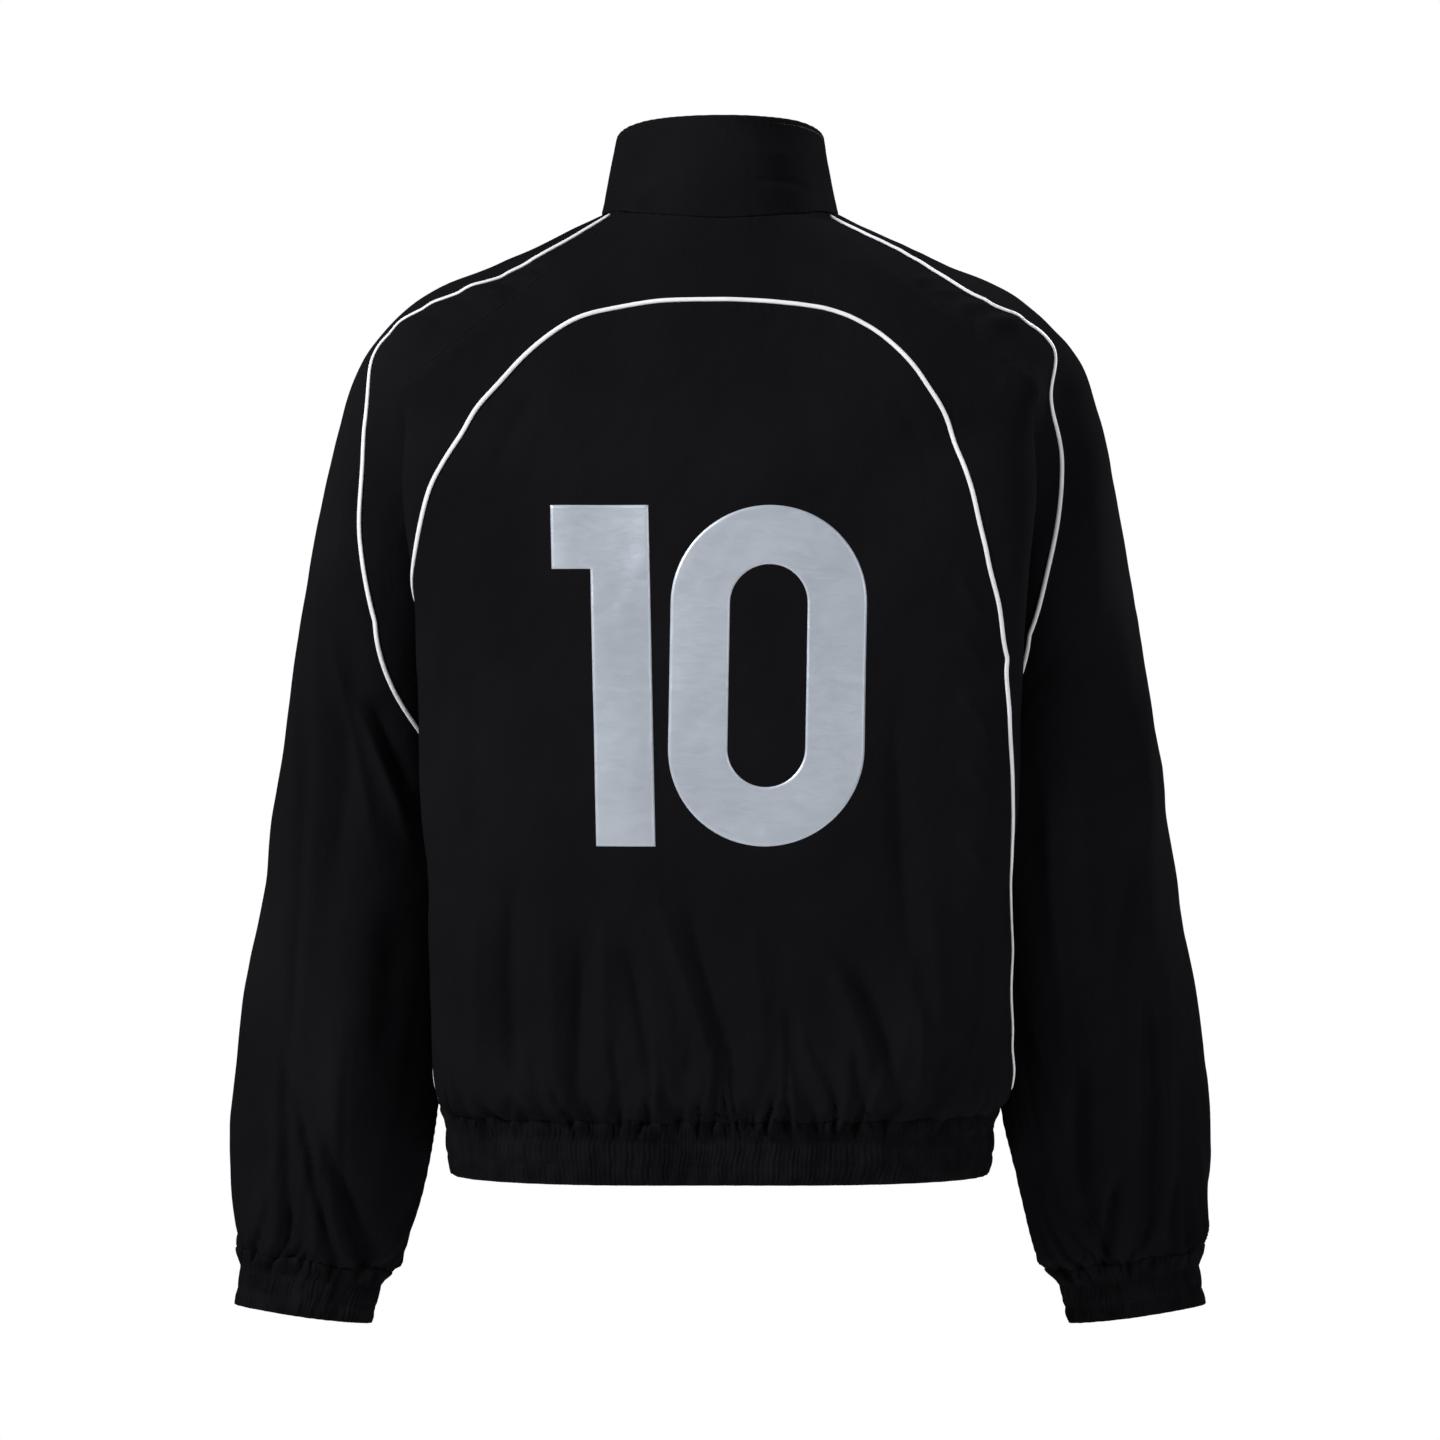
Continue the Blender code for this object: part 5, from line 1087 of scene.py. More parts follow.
def collar_surface(u, row):
    """The stand collar: u as along the neck seam, row from -1 at its top edge to 0 at the seam."""
    base = neck_line(u)
    angle = np.arctan2(base[:, 0] / NECK_MIDDLE[0], (base[:, 1] - NECK_MIDDLE[2]) / NECK_MIDDLE[1])
    rise = np.array(COLLAR_RISE[:0:-1] + COLLAR_RISE)[:, None]
    half_width, half_depth, y_mid = COLLAR_TOP
    z_top = spline_down(rise, u + 3.0)[:, 0]
    top = stack(half_width * np.sin(angle), y_mid + half_depth * np.cos(angle), z_top)
    ease = np.where(top[:, 1] < y_mid, zip_ease(np.abs(top[:, 0])), 0.0)
    top[:, 0] += np.where(u < 0, -ease, ease)
    return base - (top - base) * row[:, None]


def hem_line(u):
    """The hem seam: u from 0 at the middle of the back to 1 at the side seam and 2 at the zip."""
    row = np.full(len(u), float(HEM_ROW))
    return joined(u, [lambda v: back_surface(v, row), lambda v: front_surface(v, row)])


def band_surface(u, row):
    """The hem band: u as along the hem seam, row from 15 at the seam to 16 at the lower edge."""
    down = row - HEM_ROW
    point = hem_line(u)
    out = HEM_BULGE * np.sin(math.pi * np.clip(down, 0.0, 1.0)) - HEM_TAPER * down ** 2
    spread = 1.0 + out / np.linalg.norm(point[:, :2], axis=1)
    return stack(point[:, 0] * spread, point[:, 1] * spread, point[:, 2] - HEM_HEIGHT * down)


def cuff_surface(u, row):
    """A cuff: u as round the sleeve, row from 17 at the seam to 18 at its end."""
    down = (row - CUFF_ROW)[:, None]
    axis = np.array(CUFF_STEP)
    ring = sleeve_surface(u, np.full(len(u), float(CUFF_ROW)))
    middle = np.array(SLEEVE[-1][:3])
    fall = axis / np.linalg.norm(axis) * CUFF_HEIGHT * down
    return middle + (ring - middle) * (1.0 - CUFF_TAPER * down) + fall


def collar_height(point, normal, u, row):
    """Relief of the collar: its few creases and the cloth's faint unevenness, none at the seam."""
    calm = smoothstep(-row / 0.10)
    return (fold_height(point, normal, "collar") * calm + 0.45 * rumple(point) * calm) * zip_calm(point)


def collar(finish):
    """The stand collar, one band round the neck, open at the zip, doubled over at its top edge."""
    around = 3.0 * (2.0 * shares(NECK_GIRTH, 0.0017) - 1.0)
    down = -shares(COLLAR_HEIGHT, 0.0017)[::-1]
    u, row = np.meshgrid(around, down)
    place = plain(collar_surface, height=collar_height)
    made = panel("collar", place, u, row, finish, wall=COLLAR_WALL, roll=COLLAR_ROLL)


def drawn_up(ribs, turn, down, height):
    """Relief of cloth drawn up by elastic: fine uneven pleats, puffed between the rows that hold it down."""
    bend = 0.30 * np.sin(5.1 * down + 13.0 * turn) + 0.22 * np.sin(11.0 * down - 31.0 * turn)
    turns = ribs * turn + 0.9 * np.sin(37.0 * turn) + 0.6 * np.sin(83.0 * turn + 1.0) + bend
    own = 0.68 + 0.32 * np.sin(2.0 * math.pi * ribs * turn / 3.7 + 2.0 * np.sin(19.0 * turn))
    seats = (0.0,) + BAND_ROWS + (1.0,)
    puffed = sum(np.exp(-((down - seat) * height / (1.8 * BAND_ROW_WIDTH)) ** 2) for seat in seats)
    rows = sum(np.exp(-((down - seat) * height / BAND_ROW_WIDTH) ** 2) for seat in BAND_ROWS)
    coarse = wave(ribs * turn / 5.3 + 0.8 * np.sin(23.0 * turn) + 0.4 * np.sin(4.0 * down))
    ribs = RIB_DEPTH * own * pleat(turns) * (1.0 - 0.40 * np.clip(puffed, 0.0, 1.0))
    return ribs - BAND_ROW_DEPTH * rows + COARSE_RIB_DEPTH * coarse


def with_allowance(share, height):
    """Shares of a band's height, with rows over its seam for the allowance turned in behind the cloth."""
    return np.concatenate(([-ALLOWANCE / height, -0.5 * ALLOWANCE / height], share))


def turned_in(down, height):
    """How far the allowance over a band's seam lies inside the band's own outer side."""
    return ALLOWANCE_DEPTH * smoothstep(-down * height / (0.5 * ALLOWANCE))


def hem_band(finish):
    """The elastic band round the hem, drawn up into fine pleats, open at the zip."""
    around = 2.0 * (2.0 * shares(HEM_GIRTH, 0.00058) - 1.0)
    u, row = np.meshgrid(around, HEM_ROW + with_allowance(shares(HEM_HEIGHT, 0.0025), HEM_HEIGHT))

    def height(point, normal, u, row):
        beside_zip = smoothstep((2.0 - np.abs(u)) / 0.03)
        down = row - HEM_ROW
        follows = hem_gathers(point) * faded(down * HEM_HEIGHT / BAND_FOLLOWS)
        return ((drawn_up(HEM_RIBS, (u + 2.0) / 4.0, down, HEM_HEIGHT) + follows) * beside_zip
                - turned_in(down, HEM_HEIGHT))

    def drift(point, u, row):
        return hem_drift(point)

    place = plain(band_surface, DOWN, height=height, drift=drift)
    made = panel("hem_band", place, u, row, finish, "elastic", wall=BAND_WALL, roll=BAND_ROLL, puckers=False)


def cuff(side, finish):
    """The elastic cuff of one sleeve, drawn up into fine pleats."""
    down = with_allowance(shares(CUFF_HEIGHT, 0.0019), CUFF_HEIGHT)
    u, row = np.meshgrid(shares(CUFF_GIRTH, 0.00052), CUFF_ROW + down)

    def height(point, normal, u, row):
        down = row - CUFF_ROW
        beside_seam = smoothstep(np.minimum(u, 1.0 - u) / 0.01)
        ribs = drawn_up(CUFF_RIBS, u + 0.35 * side, down, CUFF_HEIGHT) * beside_seam
        follows = cuff_gathers(u, np.maximum(row, CUFF_ROW), side) * faded(down * CUFF_HEIGHT / BAND_FOLLOWS)
        return ribs + follows - turned_in(down, CUFF_HEIGHT)

    def drift(point, u, row):
        return cuff_drift(u, row, side)

    place = plain(cuff_surface, CUFF_STEP, side, height, drift)
    made = panel("cuff_" + SIDES[side], place, u, row, finish, "elastic",
                 wall=BAND_WALL, roll=BAND_ROLL, puckers=False)


# ---------------------------------------------------------------- piping


def piping(name, node, surface, place, u, row, finish):
    """A round cord in its cover, flattened against the cloth, along a line of (u, row) on a surface."""
    reach = along_line(surface(u, row))
    even = np.linspace(0.0, reach[-1], round(reach[-1] / PIPING_STEP) + 1)
    point, normal = place(np.interp(even, reach, u), np.interp(even, reach, row))
    ahead = unit(np.gradient(point, axis=0))
    beside = unit(np.cross(ahead, normal))
    up = np.cross(beside, ahead)
    angle = np.linspace(0.0, 2.0 * math.pi, PIPING_SIDES, endpoint=False)
    section = np.stack((np.cos(angle) * PIPING_WIDTH / 2,
                        (0.5 + 0.5 * np.sin(angle)) * PIPING_HEIGHT + PIPING_LIFT), axis=-1)
    ring = point[:, None] + beside[:, None] * section[None, :, :1] + up[:, None] * section[None, :, 1:]
    faces = tube_faces(np.arange(len(point) * PIPING_SIDES).reshape(len(point), PIPING_SIDES))
    way = np.cross(ring[0, 1] - ring[0, 0], ring[1, 0] - ring[0, 0]) @ (ring[0, 0] - ring[0].mean(axis=0))
    if way < 0:
        faces = [group[:, ::-1] for group in faces]
    girth = angle * PIPING_WIDTH / 2
    uv = np.stack(np.broadcast_arrays(girth[None, :], along_line(point)[:, None]), axis=-1).reshape(-1, 2)
    new_mesh(name, ring.reshape(-1, 3), faces, finish, "piping", [node], uv=uv)


def back_piping(finish):
    """The piping over the arch seam, from hem to hem."""
    u, row = arch_curve().T
    piping("piping_over_back", "piping_back", back_surface, BACK, u, np.minimum(row, HEM_ROW - 0.06), finish)


def sleeve_piping(side, finish):
    """The piping down the back of one sleeve."""
    row = np.linspace(0.10, PIPING_END - 0.3, 600)
    piping("piping_on_sleeve_" + SIDES[side], "piping_sleeve_" + SIDES[side], sleeve_surface,
           SLEEVE_CLOTH[side], piping_u(row, side), row, finish)


# ---------------------------------------------------------------- number


def on_back(x, z):
    """(u, row) of the back's bare surface at places (x, z), by Newton's method on its two unknowns."""
    u, row = x / 0.21, 8.0 + (z + 0.30) / -0.05
    step = 1e-4
    for _ in range(12):
        here = back_surface(u, row)[:, (0, 2)]
        by_u = (back_surface(u + step, row)[:, (0, 2)] - here) / step
        by_row = (back_surface(u, row + step)[:, (0, 2)] - here) / step
        miss = np.stack((x, z), axis=-1) - here
        whole = by_u[:, 0] * by_row[:, 1] - by_u[:, 1] * by_row[:, 0]
        u = u + (miss[:, 0] * by_row[:, 1] - miss[:, 1] * by_row[:, 0]) / whole
        row = row + (by_u[:, 0] * miss[:, 1] - by_u[:, 1] * miss[:, 0]) / whole
    return u, row


def on_film(u, row):
    """The film's outer side: it lies on the folded cloth and keeps a soft line where it was folded."""
    point, normal = BACK(u, row)
    over = point[:, 2] - CREASE_LINE + 0.004 * np.sin(30 * point[:, 0])
    crease = CREASE_RISE * np.exp(-(over / CREASE_WIDTH) ** 2)
    return point + normal * (FILM_LIFT + crease)[:, None], normal


def figure(name, x, z, slant, keep, closed, finish):
    """One figure's film from a grid of places (x, z), seen square on from behind.

    keep says which cells of the grid the figure has, and closed that its last column is its first one. The
    film's inner side lies on the cloth, and its outline is drawn down to it.
    """
    ids = np.arange(x.size).reshape(x.shape)
    if closed:
        ids[:, -1] = ids[:, 0]
    lean = x - slant * (NUMBER_TOP - z)
    point, normal = on_film(*on_back(lean.ravel(), z.ravel()))
    cells = grid_faces(ids)[keep.ravel()]
    sides = np.stack((cells, np.roll(cells, -1, axis=1)), axis=-1).reshape(-1, 2)
    own = sides[:, 0] * x.size + sides[:, 1]
    border = sides[~np.isin(own, sides[:, 1] * x.size + sides[:, 0])]
    edge = np.zeros(x.size)
    edge[border[:, 0]] = 1.0
    points = np.concatenate((point - normal * (0.6 * FILM_WALL * edge)[:, None], point - normal * FILM_WALL))
    rim = np.stack((border[:, 1], border[:, 0], border[:, 0] + x.size, border[:, 1] + x.size), axis=1)
    faces = [cells, cells[:, ::-1] + x.size, rim]
    corner = point[cells[0]]
    if np.cross(corner[1] - corner[0], corner[3] - corner[0]) @ normal[cells[0, 0]] < 0:
        faces = [group[:, ::-1] for group in faces]
    used = np.unique(np.concatenate((cells.ravel(), cells.ravel() + x.size)))
    number = np.zeros(2 * x.size, dtype=int)
    number[used] = np.arange(len(used))
    place = np.tile(np.stack((lean.ravel(), z.ravel()), axis=-1), (2, 1))[used]
    new_mesh(name, points[used], [number[group] for group in faces], finish, "piping", uv=place,
             wear=np.tile(edge, 2)[used])


def nought(finish):
    """A nought of one even stroke: a straight-sided ring with half-round ends."""
    radius = (ZERO_WIDTH - NUMBER_STROKE) / 2
    straight = NUMBER_HEIGHT - ZERO_WIDTH
    turn = math.pi * radius
    length = 2.0 * (straight + turn)
    along = np.linspace(0.0, length, round(length / FILM_STEP) + 1)
    angle = (np.clip(along / turn, 0.0, 1.0) + np.clip((along - turn - straight) / turn, 0.0, 1.0)) * math.pi
    down = np.clip(along - turn, 0.0, straight) - np.clip(along - 2.0 * turn - straight, 0.0, straight)
    out = (np.linspace(-0.5, 0.5, round(NUMBER_STROKE / FILM_STEP) + 1))[:, None] * NUMBER_STROKE
    x = ZERO_MIDDLE + (radius + out) * np.cos(angle)
    z = NUMBER_TOP - ZERO_WIDTH / 2 - down + (radius + out) * np.sin(angle)
    keep = np.ones((x.shape[0] - 1, x.shape[1] - 1), bool)
    figure("number_nought", x, z, ZERO_LEAN, keep, True, finish)


def one(finish):
    """A one of one even stroke: an upright bar, and a square flag at the top of its outer side."""
    width, height = ONE_FLAG
    bar = np.linspace(0.0, NUMBER_STROKE, round(NUMBER_STROKE / FILM_STEP) + 1)
    flag = NUMBER_STROKE + np.linspace(0.0, width, round(width / FILM_STEP) + 1)[1:]
    top = np.linspace(0.0, height, round(height / FILM_STEP) + 1)
    rest = np.linspace(height, NUMBER_HEIGHT, round((NUMBER_HEIGHT - height) / FILM_STEP) + 1)[1:]
    x, z = np.meshgrid(ONE_RIGHT + np.concatenate((bar, flag)), NUMBER_TOP - np.concatenate((top, rest)))
    keep = np.ones((x.shape[0] - 1, x.shape[1] - 1), bool)
    keep[len(top) - 1:, len(bar) - 1:] = False
    figure("number_one", x, z, ONE_LEAN, keep, False, finish)


# ---------------------------------------------------------------- zip


def zip_lines():
    """Lines down the zip, from the collar's top edge to the hem band's lower edge: edge, way out and way in.

    The edge is the +X front's, the way out is the cloth's own direction there, and the way in is the point on
    the cloth that lies TAPE_WIDTH behind the edge.
    """
    runs = ((collar_surface, 3.0, -shares(COLLAR_HEIGHT, 0.004)[::-1]),
            (front_surface, 1.0, rows_along(front_surface, 1.0, 0.0, HEM_ROW, 0.006)[1:]),
            (band_surface, 2.0, HEM_ROW + np.linspace(0.0, 1.0, 10)[1:]))
    edges, outs, ins = [], [], []
    for surface, edge, row in runs:
        u = np.full(len(row), edge)
        point, normal = plain(surface)(u, row)
        speed = np.linalg.norm(point - surface(u - 0.01, row), axis=1) / 0.01
        edges.append(point)
        outs.append(unit(normal * (0.0, 1.0, 1.0)))
        ins.append(surface(u - TAPE_WIDTH / speed, row))
    return np.concatenate(edges), np.concatenate(outs), np.concatenate(ins)


def zip_tape(side, finish):
    """The woven tape behind a front's edge: from the zip's middle over to the edge, then along the cloth."""
    edge, out, inner = zip_lines()
    middle = edge * (0.0, 1.0, 1.0) + (SEAM_ROLL / 4, 0.0, 0.0)
    lines = np.stack((middle, edge, inner))
    mirror = np.array((side, 1.0, 1.0))

    def place(u, n):
        k = np.clip(np.floor(u).astype(int), 0, 1)
        part = (u - k)[:, None]
        point = lines[k, n] * (1.0 - part) + lines[k + 1, n] * part
        return (point - out[n] * (WALL + TAPE_LIFT)) * mirror, out[n] * mirror

    across = np.concatenate((np.linspace(0.0, 1.0, 4), np.linspace(1.0, 2.0, 8)[1:]))
    u, row = np.meshgrid(across, np.arange(len(edge) // 2 * 2 - 1))
    row[-1] = len(edge) - 1
    tape = shell("tape_of_zip_" + SIDES[side], place, u, row, finish, "tape", ["zip_tape_" + SIDES[side]],
                 TAPE_WALL, 0.4 * TAPE_WALL, False)


def down_middle(pitch, start, end):
    """Places down the middle of the zip a pitch apart, with the ways ahead and out at each."""
    edge, out, _ = zip_lines()
    middle = edge * (0.0, 1.0, 1.0)
    reach = along_line(middle)
    at = np.arange(start, reach[-1] - end, pitch)
    place = np.stack([np.interp(at, reach, middle[:, i]) for i in range(3)], axis=-1)
    way = unit(np.stack([np.interp(at, reach, out[:, i]) for i in range(3)], axis=-1))
    ahead = unit(np.gradient(place, axis=0))
    return place, ahead, unit(way - (way * ahead).sum(axis=1)[:, None] * ahead)


def zip_teeth(finish):
    """The closed chain: moulded teeth from both tapes by turns, each a stem with a wider head.

    The outline lies across and along the zip, and is carried through its thickness with a chamfer.
    """
    outline = np.array(((0.0, -0.50), (0.50, -0.50), (0.60, -0.80), (0.88, -0.66), (1.0, -0.25),
                        (1.0, 0.25), (0.88, 0.66), (0.60, 0.80), (0.50, 0.50), (0.0, 0.50)))
    size = (TOOTH_REACH, TOOTH_HEIGHT / 2)
    levels = ((-CHAIN_THICKNESS, 1.0), (-0.25 * CHAIN_THICKNESS, 1.0), (0.0, 0.80))
    centre = outline.mean(axis=0)
    rings = [np.column_stack(((centre + (outline - centre) * scale) * size, np.full(len(outline), level)))
             for level, scale in levels]
    ids = np.arange(len(levels) * len(outline)).reshape(len(levels), len(outline))
    place, ahead, out = down_middle(TOOTH_PITCH / 2, CHAIN_TOP, CHAIN_END)
    hand = np.where(np.arange(len(place)) % 2 == 0, 1.0, -1.0)
    across = stack(-hand, 0.0, 0.0)
    frames = np.stack((across, ahead * hand[:, None], out), axis=1)
    at = place + stack(hand * TOOTH_REACH, 0.0, 0.0) + out * CHAIN_FRONT
    repeated("teeth_of_zip", np.concatenate(rings), tube_faces(ids), at, frames, finish, "teeth",
             ["zip_chain"])


# ---------------------------------------------------------------- stitches


def stitches(name, rows, finish):
    """Threads along rows of sewing: each stitch a short round thread, thinner where it dives into the cloth.

    Each row of sewing is a place function with its line of (u, row).
    """
    sides = 5
    angle = np.linspace(0.0, 2.0 * math.pi, sides, endpoint=False)
    rings = []
    for along, width, sink in ((-0.5, 0.55, -0.45), (-0.25, 1.0, 0.0), (0.25, 1.0, 0.0), (0.5, 0.55, -0.45)):
        rings.append(np.column_stack((np.full(sides, along * STITCH_LENGTH),
                                      np.cos(angle) * width * STITCH_WIDTH / 2,
                                      (np.sin(angle) * width * 0.5 + 0.10 + sink) * STITCH_WIDTH)))
    ids = np.arange(4 * sides).reshape(4, sides)
    at, frames = [], []
    for place, u, row in rows:
        reach = along_line(place(u, row)[0])
        even = np.arange(STITCH_PITCH, reach[-1] - STITCH_PITCH, STITCH_PITCH)
        u, row = np.interp(even, reach, u), np.interp(even, reach, row)
        point, normal = place(u, row)
        ahead = unit(np.gradient(point, axis=0))
        out = unit(normal - (normal * ahead).sum(axis=1)[:, None] * ahead)
        at.append(point)
        frames.append(np.stack((ahead, np.cross(out, ahead), out), axis=1))
    repeated(name, np.concatenate(rings), tube_faces(ids), np.concatenate(at), np.concatenate(frames), finish,
             "cloth", smooth_angle=60.0)


def sewing(finish):
    """Rows of stitches beside the zip, under the collar's edge and along the elastic of the hem and cuffs."""
    many = np.linspace(0.0, 1.0, 1500)
    down = np.linspace(0.1, HEM_ROW - 0.1, 1200)
    rows = [(FRONT[side], np.full(len(down), 0.965), down) for side in SIDES]
    collar_place = plain(collar_surface, height=collar_height)
    rows.append((collar_place, -2.96 + 5.92 * many, np.full(len(many), -0.93)))
    bands = ((plain(band_surface, DOWN), -1.97 + 3.94 * many, HEM_ROW),
             (plain(cuff_surface, CUFF_STEP, 1), 0.01 + 0.98 * many, CUFF_ROW),
             (plain(cuff_surface, CUFF_STEP, -1), 0.01 + 0.98 * many, CUFF_ROW))
    for place, u, start in bands:
        for share in BAND_ROWS:
            rows.append((place, u, np.full(len(u), start + share)))
    stitches("threads", rows, finish)


# ---------------------------------------------------------------- finishes


class Finish:
    """A material whose nodes are added one by one, each linked from the values that it reads."""

    def __init__(self, name, colour, roughness, metallic=0.0, **constants):
        self.material = bpy.data.materials.new(name)
        self.material.use_nodes = True
        self.tree = self.material.node_tree
        self.shader = self.tree.nodes["Principled BSDF"]
        self.shader.inputs["Base Color"].default_value = (*colour, 1.0)
        self.shader.inputs["Roughness"].default_value = roughness
        self.shader.inputs["Metallic"].default_value = metallic
        for socket, value in constants.items():
            self.shader.inputs[socket.replace("_", " ")].default_value = value

    def node(self, kind, settings=(), **inputs):
        """A node with its settings, and its inputs linked or set."""
        made = self.tree.nodes.new("ShaderNode" + kind)
        for key, value in dict(settings).items():
            setattr(made, key, value)
        for key, value in inputs.items():
            numbered = key[0] == "i" and key[1:].isdigit()
            socket = made.inputs[int(key[1:]) if numbered else key.replace("_", " ")]
            if isinstance(value, bpy.types.NodeSocket):
                self.tree.links.new(value, socket)
            else:
                socket.default_value = (*value, 1.0) if socket.type == "RGBA" else value
        return made

    def to_shader(self, socket, value):
        self.tree.links.new(value, self.shader.inputs[socket])

    def in_metres(self, stretch=(1.0, 1.0, 1.0), turn=0.0):
        """Places in metres on the object, stretched and turned about +Y."""
        at = self.node("TexCoord").outputs["Object"]
        return self.node("Mapping", Vector=at, Scale=stretch, Rotation=(0.0, turn, 0.0)).outputs["Vector"]

    def on_cloth(self, turn=0.0):
        """Places in metres along the cloth itself."""
        at = self.node("UVMap", {"uv_map": "cloth"}).outputs["UV"]
        return self.node("Mapping", Vector=at, Rotation=(0.0, 0.0, turn)).outputs["Vector"]

    def noise(self, at, scale, detail=2.0, roughness=0.5, distortion=0.0):
        return self.node("TexNoise", Vector=at, Scale=scale, Detail=detail, Roughness=roughness,
                         Distortion=distortion).outputs["Fac"]

    def threads(self, at, pitch, way="X"):
        """Even threads a pitch apart: the waves of a band pattern."""
        scale = 2.0 * math.pi / (20.0 * pitch)
        return self.node("TexWave", {"bands_direction": way}, Vector=at, Scale=scale,
                         Distortion=0.0).outputs["Fac"]

    def math(self, operation, first, second=0.5):
        return self.node("Math", {"operation": operation}, i0=first, i1=second).outputs[0]

    def ranged(self, value, low, high, to_low, to_high):
        return self.node("MapRange", i0=value, i1=low, i2=high, i3=to_low, i4=to_high).outputs[0]

    def mixed(self, share, first, second):
        """A colour between two colours."""
        return self.node("Mix", {"data_type": "RGBA"}, i0=share, i6=first, i7=second).outputs[2]

    def between(self, value, low, high, first, second):
        """A colour that goes from the first to the second while the value goes from low to high."""
        return self.mixed(self.ranged(value, low, high, 0.0, 1.0), first, second)

    def bump(self, height, distance, strength=1.0, over=None):
        made = self.node("Bump", Height=height, Distance=distance, Strength=strength)
        if over is not None:
            self.tree.links.new(over, made.inputs["Normal"])
        return made.outputs["Normal"]


def weave(finish, over):
    """Plain weave: threads both ways, one over the other."""
    at = finish.on_cloth()
    warp, weft = finish.threads(at, WEAVE_PITCH, "X"), finish.threads(at, 1.1 * WEAVE_PITCH, "Y")
    return finish.bump(finish.math("ADD", warp, weft), WEAVE_DEPTH, 0.6, over)


def black_cloth():
    """Thin black woven polyester: a soft low gloss, fine crinkles, and a little bloom at worn edges."""
    made = Finish("black_cloth", CLOTH_DARK, 0.50, Specular_IOR_Level=0.0)
    tone = made.noise(made.in_metres(), 7.0, 3.0, 0.6)
    wear = made.node("Attribute", {"attribute_name": "wear"}).outputs["Fac"]
    colour = made.between(tone, 0.3, 0.7, CLOTH_DARK, CLOTH_LIGHT)
    made.to_shader("Base Color", made.mixed(made.math("MULTIPLY", wear, 0.10), colour, CLOTH_WORN))
    gloss = made.noise(made.in_metres(), 42.0, 3.0, 0.55)
    made.to_shader("Roughness", made.ranged(gloss, 0.25, 0.75, 0.44, 0.60))
    crinkle = made.noise(made.in_metres((1.0, 1.0, 0.45)), 105.0, 4.0, 0.55, 0.6)
    soft = made.bump(crinkle, 0.0011, 0.55)
    fine = made.bump(made.noise(made.in_metres((1.0, 1.0, 0.7), 0.5), 320.0, 2.0), 0.0003, 0.5, soft)
    made.to_shader("Normal", weave(made, fine))
    return made.material


def black_elastic():
    """The same cloth over elastic, duller, its tone a little lighter here and there at random."""
    made = Finish("black_elastic", ELASTIC_DARK, 0.62, Specular_IOR_Level=0.0)
    tone = made.noise(made.in_metres(), 60.0, 3.0, 0.6)
    made.to_shader("Base Color", made.between(tone, 0.3, 0.7, ELASTIC_DARK, ELASTIC_LIGHT))
    made.to_shader("Roughness", made.ranged(made.noise(made.in_metres(), 90.0), 0.3, 0.7, 0.55, 0.72))
    crinkle = made.bump(made.noise(made.in_metres((1.0, 1.0, 0.3)), 420.0, 3.0), 0.0004, 0.6)
    made.to_shader("Normal", weave(made, crinkle))
    return made.material


def white_piping():
    """White satin cover over a cord: fine slanted threads, slightly soiled here and there."""
    made = Finish("white_piping", PIPING_WHITE, 0.42, Specular_IOR_Level=0.4, Sheen_Weight=0.15)
    soil = made.noise(made.in_metres(), 24.0, 4.0, 0.6)
    made.to_shader("Base Color", made.between(soil, 0.45, 0.8, PIPING_WHITE, PIPING_SOILED))
    made.to_shader("Roughness", made.ranged(soil, 0.3, 0.8, 0.38, 0.52))
    slanted = made.threads(made.on_cloth(0.8), 0.00062, "Y")
    made.to_shader("Normal", made.bump(slanted, 0.00009, 0.8))
    return made.material


def silver_film():
    """Silver-grey heat-pressed film: a soft metal sheen, with the weave, faint creases and scuffs."""
    made = Finish("silver_film", FILM_GREY, 0.40, 0.35, Specular_IOR_Level=0.45)
    tone = made.noise(made.in_metres(), 11.0, 3.0, 0.6)
    worn = made.node("Attribute", {"attribute_name": "wear"}).outputs["Fac"]
    colour = made.between(tone, 0.3, 0.7, FILM_GREY, FILM_LIGHT)
    made.to_shader("Base Color", made.mixed(made.math("MULTIPLY", worn, 0.15), colour, FILM_EDGE))
    scuffs = made.noise(made.in_metres((1.0, 1.0, 2.6)), 75.0, 5.0, 0.65, 0.8)
    made.to_shader("Roughness", made.ranged(scuffs, 0.3, 0.7, 0.34, 0.50))
    crackle = made.bump(scuffs, 0.0006, 0.40)
    at = made.on_cloth()
    under = made.math("ADD", made.threads(at, WEAVE_PITCH, "X"), made.threads(at, 0.00053, "Y"))
    made.to_shader("Normal", made.bump(under, 0.00003, 0.5, crackle))
    return made.material


def black_tape():
    """Woven zip tape: a herringbone of two slanted thread systems."""
    made = Finish("black_tape", (0.006, 0.006, 0.007), 0.80, Specular_IOR_Level=0.1)
    tone = made.noise(made.in_metres(), 130.0, 3.0)
    made.to_shader("Base Color", made.mixed(tone, (0.005, 0.005, 0.006), (0.009, 0.009, 0.010)))
    one_way, other = (made.threads(made.on_cloth(turn), 0.0007, "X") for turn in (0.7, -0.7))
    made.to_shader("Normal", made.bump(made.math("MAXIMUM", one_way, other), 0.0001, 0.7))
    return made.material


def black_teeth():
    """Black moulded zip teeth, rubbed on their faces."""
    made = Finish("black_teeth", (0.012, 0.012, 0.013), 0.38, Specular_IOR_Level=0.35)
    rubbed = made.noise(made.in_metres(), 260.0, 3.0, 0.6)
    made.to_shader("Base Color", made.mixed(rubbed, (0.010, 0.010, 0.011), (0.022, 0.022, 0.024)))
    made.to_shader("Roughness", made.ranged(rubbed, 0.3, 0.7, 0.30, 0.48))
    made.to_shader("Normal", made.bump(made.noise(made.in_metres(), 900.0), 0.00005, 0.4))
    return made.material


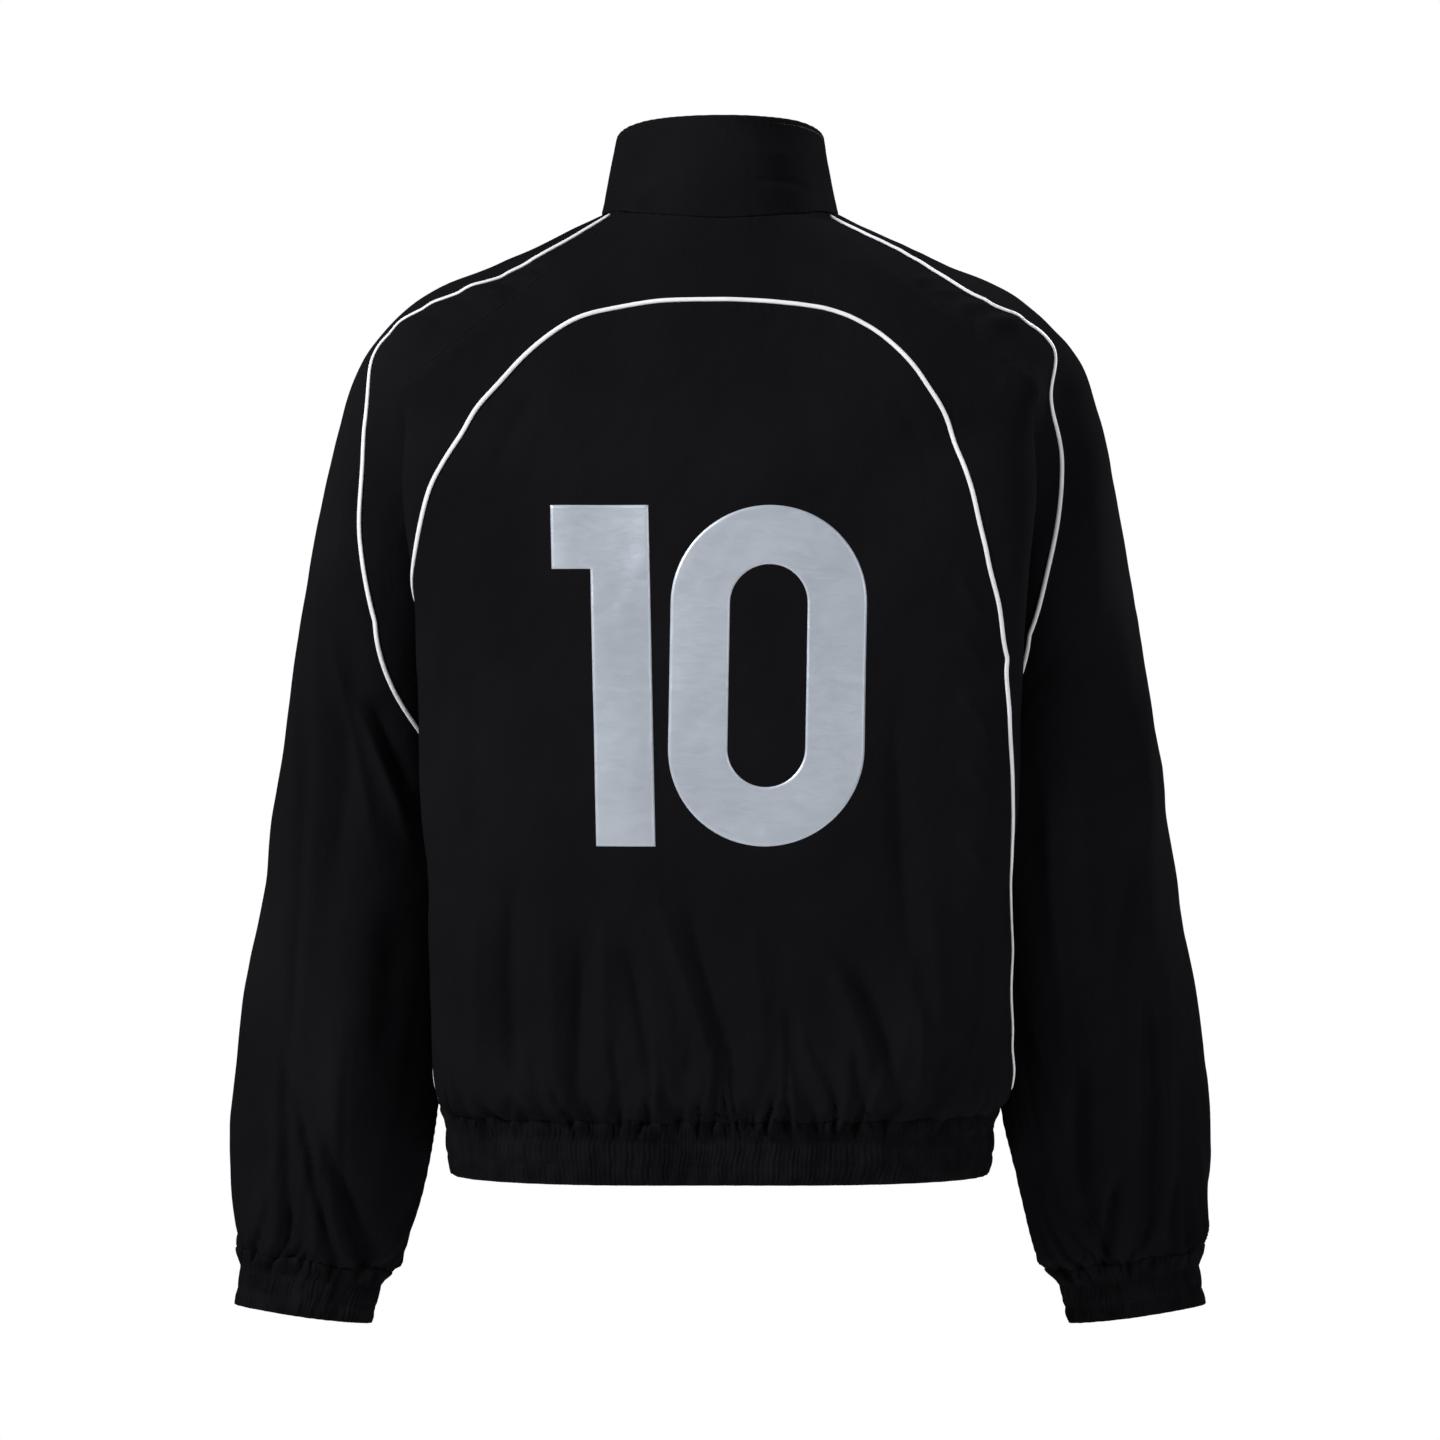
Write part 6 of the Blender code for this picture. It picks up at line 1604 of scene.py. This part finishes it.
def dark_metal():
    """Dark lacquer over cast metal, worn through to a lighter grey in small spots."""
    made = Finish("dark_metal", (0.050, 0.050, 0.054), 0.32, 0.85)
    spots = made.noise(made.in_metres(), 480.0, 5.0, 0.7)
    made.to_shader("Base Color", made.between(spots, 0.58, 0.72, (0.045, 0.045, 0.050), (0.20, 0.20, 0.21)))
    made.to_shader("Roughness", made.ranged(spots, 0.3, 0.7, 0.26, 0.46))
    made.to_shader("Normal", made.bump(made.noise(made.in_metres(), 700.0, 3.0), 0.00006, 0.5))
    return made.material


def black_thread():
    """Black sewing thread: two twisted plies with a slight gloss."""
    made = Finish("black_thread", (0.003, 0.003, 0.0034), 0.55, Specular_IOR_Level=0.08)
    tone = made.noise(made.in_metres(), 500.0, 2.0)
    made.to_shader("Base Color", made.mixed(tone, (0.002, 0.002, 0.0023), (0.005, 0.005, 0.0056)))
    made.to_shader("Normal", made.bump(made.noise(made.in_metres((1.0, 3.0, 1.0)), 1400.0), 0.00008, 0.7))
    return made.material


def pale_floor():
    """Pale matt floor with a barely uneven tone."""
    made = Finish("pale_floor", FLOOR_PALE, 0.9, Specular_IOR_Level=0.1)
    tone = made.noise(made.in_metres(), 0.8, 2.0)
    made.to_shader("Base Color", made.mixed(tone, FLOOR_PALE, (0.80, 0.80, 0.80)))
    return made.material


# ---------------------------------------------------------------- studio


def floor(finish):
    """A wide level floor, as far under the shoulders as where the jacket's wearer would stand."""
    half = FLOOR_HALF
    mesh = bpy.data.meshes.new("floor")
    corners = [(-half, -half, FLOOR_HEIGHT), (half, -half, FLOOR_HEIGHT), (half, half, FLOOR_HEIGHT),
               (-half, half, FLOOR_HEIGHT)]
    mesh.from_pydata(corners, [], [(0, 1, 2, 3)])
    mesh.materials.append(finish)
    made = bpy.data.objects.new("floor", mesh)
    bpy.context.scene.collection.objects.link(made)


def camera():
    """A level camera square to the back, whose picture is PICTURE_WIDTH wide at the origin's depth."""
    made = bpy.data.cameras.new("camera")
    made.sensor_width = 36.0
    made.lens = made.sensor_width * CAMERA_DISTANCE / PICTURE_WIDTH
    made.clip_end = 200.0
    holder = bpy.data.objects.new("camera", made)
    holder.location = (0.0, CAMERA_DISTANCE, CAMERA_HEIGHT)
    holder.rotation_euler = (math.pi / 2, 0.0, math.pi)
    bpy.context.scene.collection.objects.link(holder)
    bpy.context.scene.camera = holder


def softbox(name, place, size, power):
    """A square area light at a place, turned to the jacket."""
    made = bpy.data.lights.new(name, "AREA")
    made.shape = "SQUARE"
    made.size = size
    made.energy = power
    holder = bpy.data.objects.new(name, made)
    holder.location = place
    away = np.array(place) - LIGHT_AIM
    flat = math.hypot(away[0], away[1])
    holder.rotation_euler = (math.atan2(flat, away[2]), 0.0, math.atan2(away[1], away[0]) + math.pi / 2)
    bpy.context.scene.collection.objects.link(holder)


def studio():
    """White surroundings that light the jacket only dimly, and softboxes that model its folds."""
    world = bpy.data.worlds.new("white_surroundings")
    world.use_nodes = True
    tree = world.node_tree
    seen = tree.nodes.new("ShaderNodeLightPath").outputs["Is Camera Ray"]
    strength = tree.nodes.new("ShaderNodeMapRange")
    strength.inputs["To Min"].default_value = SURROUNDINGS
    tree.links.new(seen, strength.inputs["Value"])
    tree.links.new(strength.outputs[0], tree.nodes["Background"].inputs["Strength"])
    tree.nodes["Background"].inputs["Color"].default_value = (1.0, 1.0, 1.0, 1.0)
    bpy.context.scene.world = world
    for name, place, size, power in SOFTBOXES:
        softbox(name, place, size, power)
    bpy.context.scene.view_settings.view_transform = "Standard"


# ---------------------------------------------------------------- the jacket


def build():
    cloth, elastic, white = black_cloth(), black_elastic(), white_piping()
    film, tape, teeth = silver_film(), black_tape(), black_teeth()
    back_centre(cloth)
    back_outer(cloth)
    for side in SIDES:
        front(side, cloth)
        sleeve(side, cloth)
        sleeve_back(side, cloth)
        sleeve_piping(side, white)
        cuff(side, elastic)
        zip_tape(side, tape)
    back_piping(white)
    collar(cloth)
    hem_band(elastic)
    one(film)
    nought(film)
    zip_teeth(teeth)
    sewing(black_thread())
    metal = dark_metal()
    for node in ("zip_slider", "zip_pull", "zip_box"):
        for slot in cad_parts[node].material_slots:
            slot.material = metal
    floor(pale_floor())
    camera()
    studio()


build()
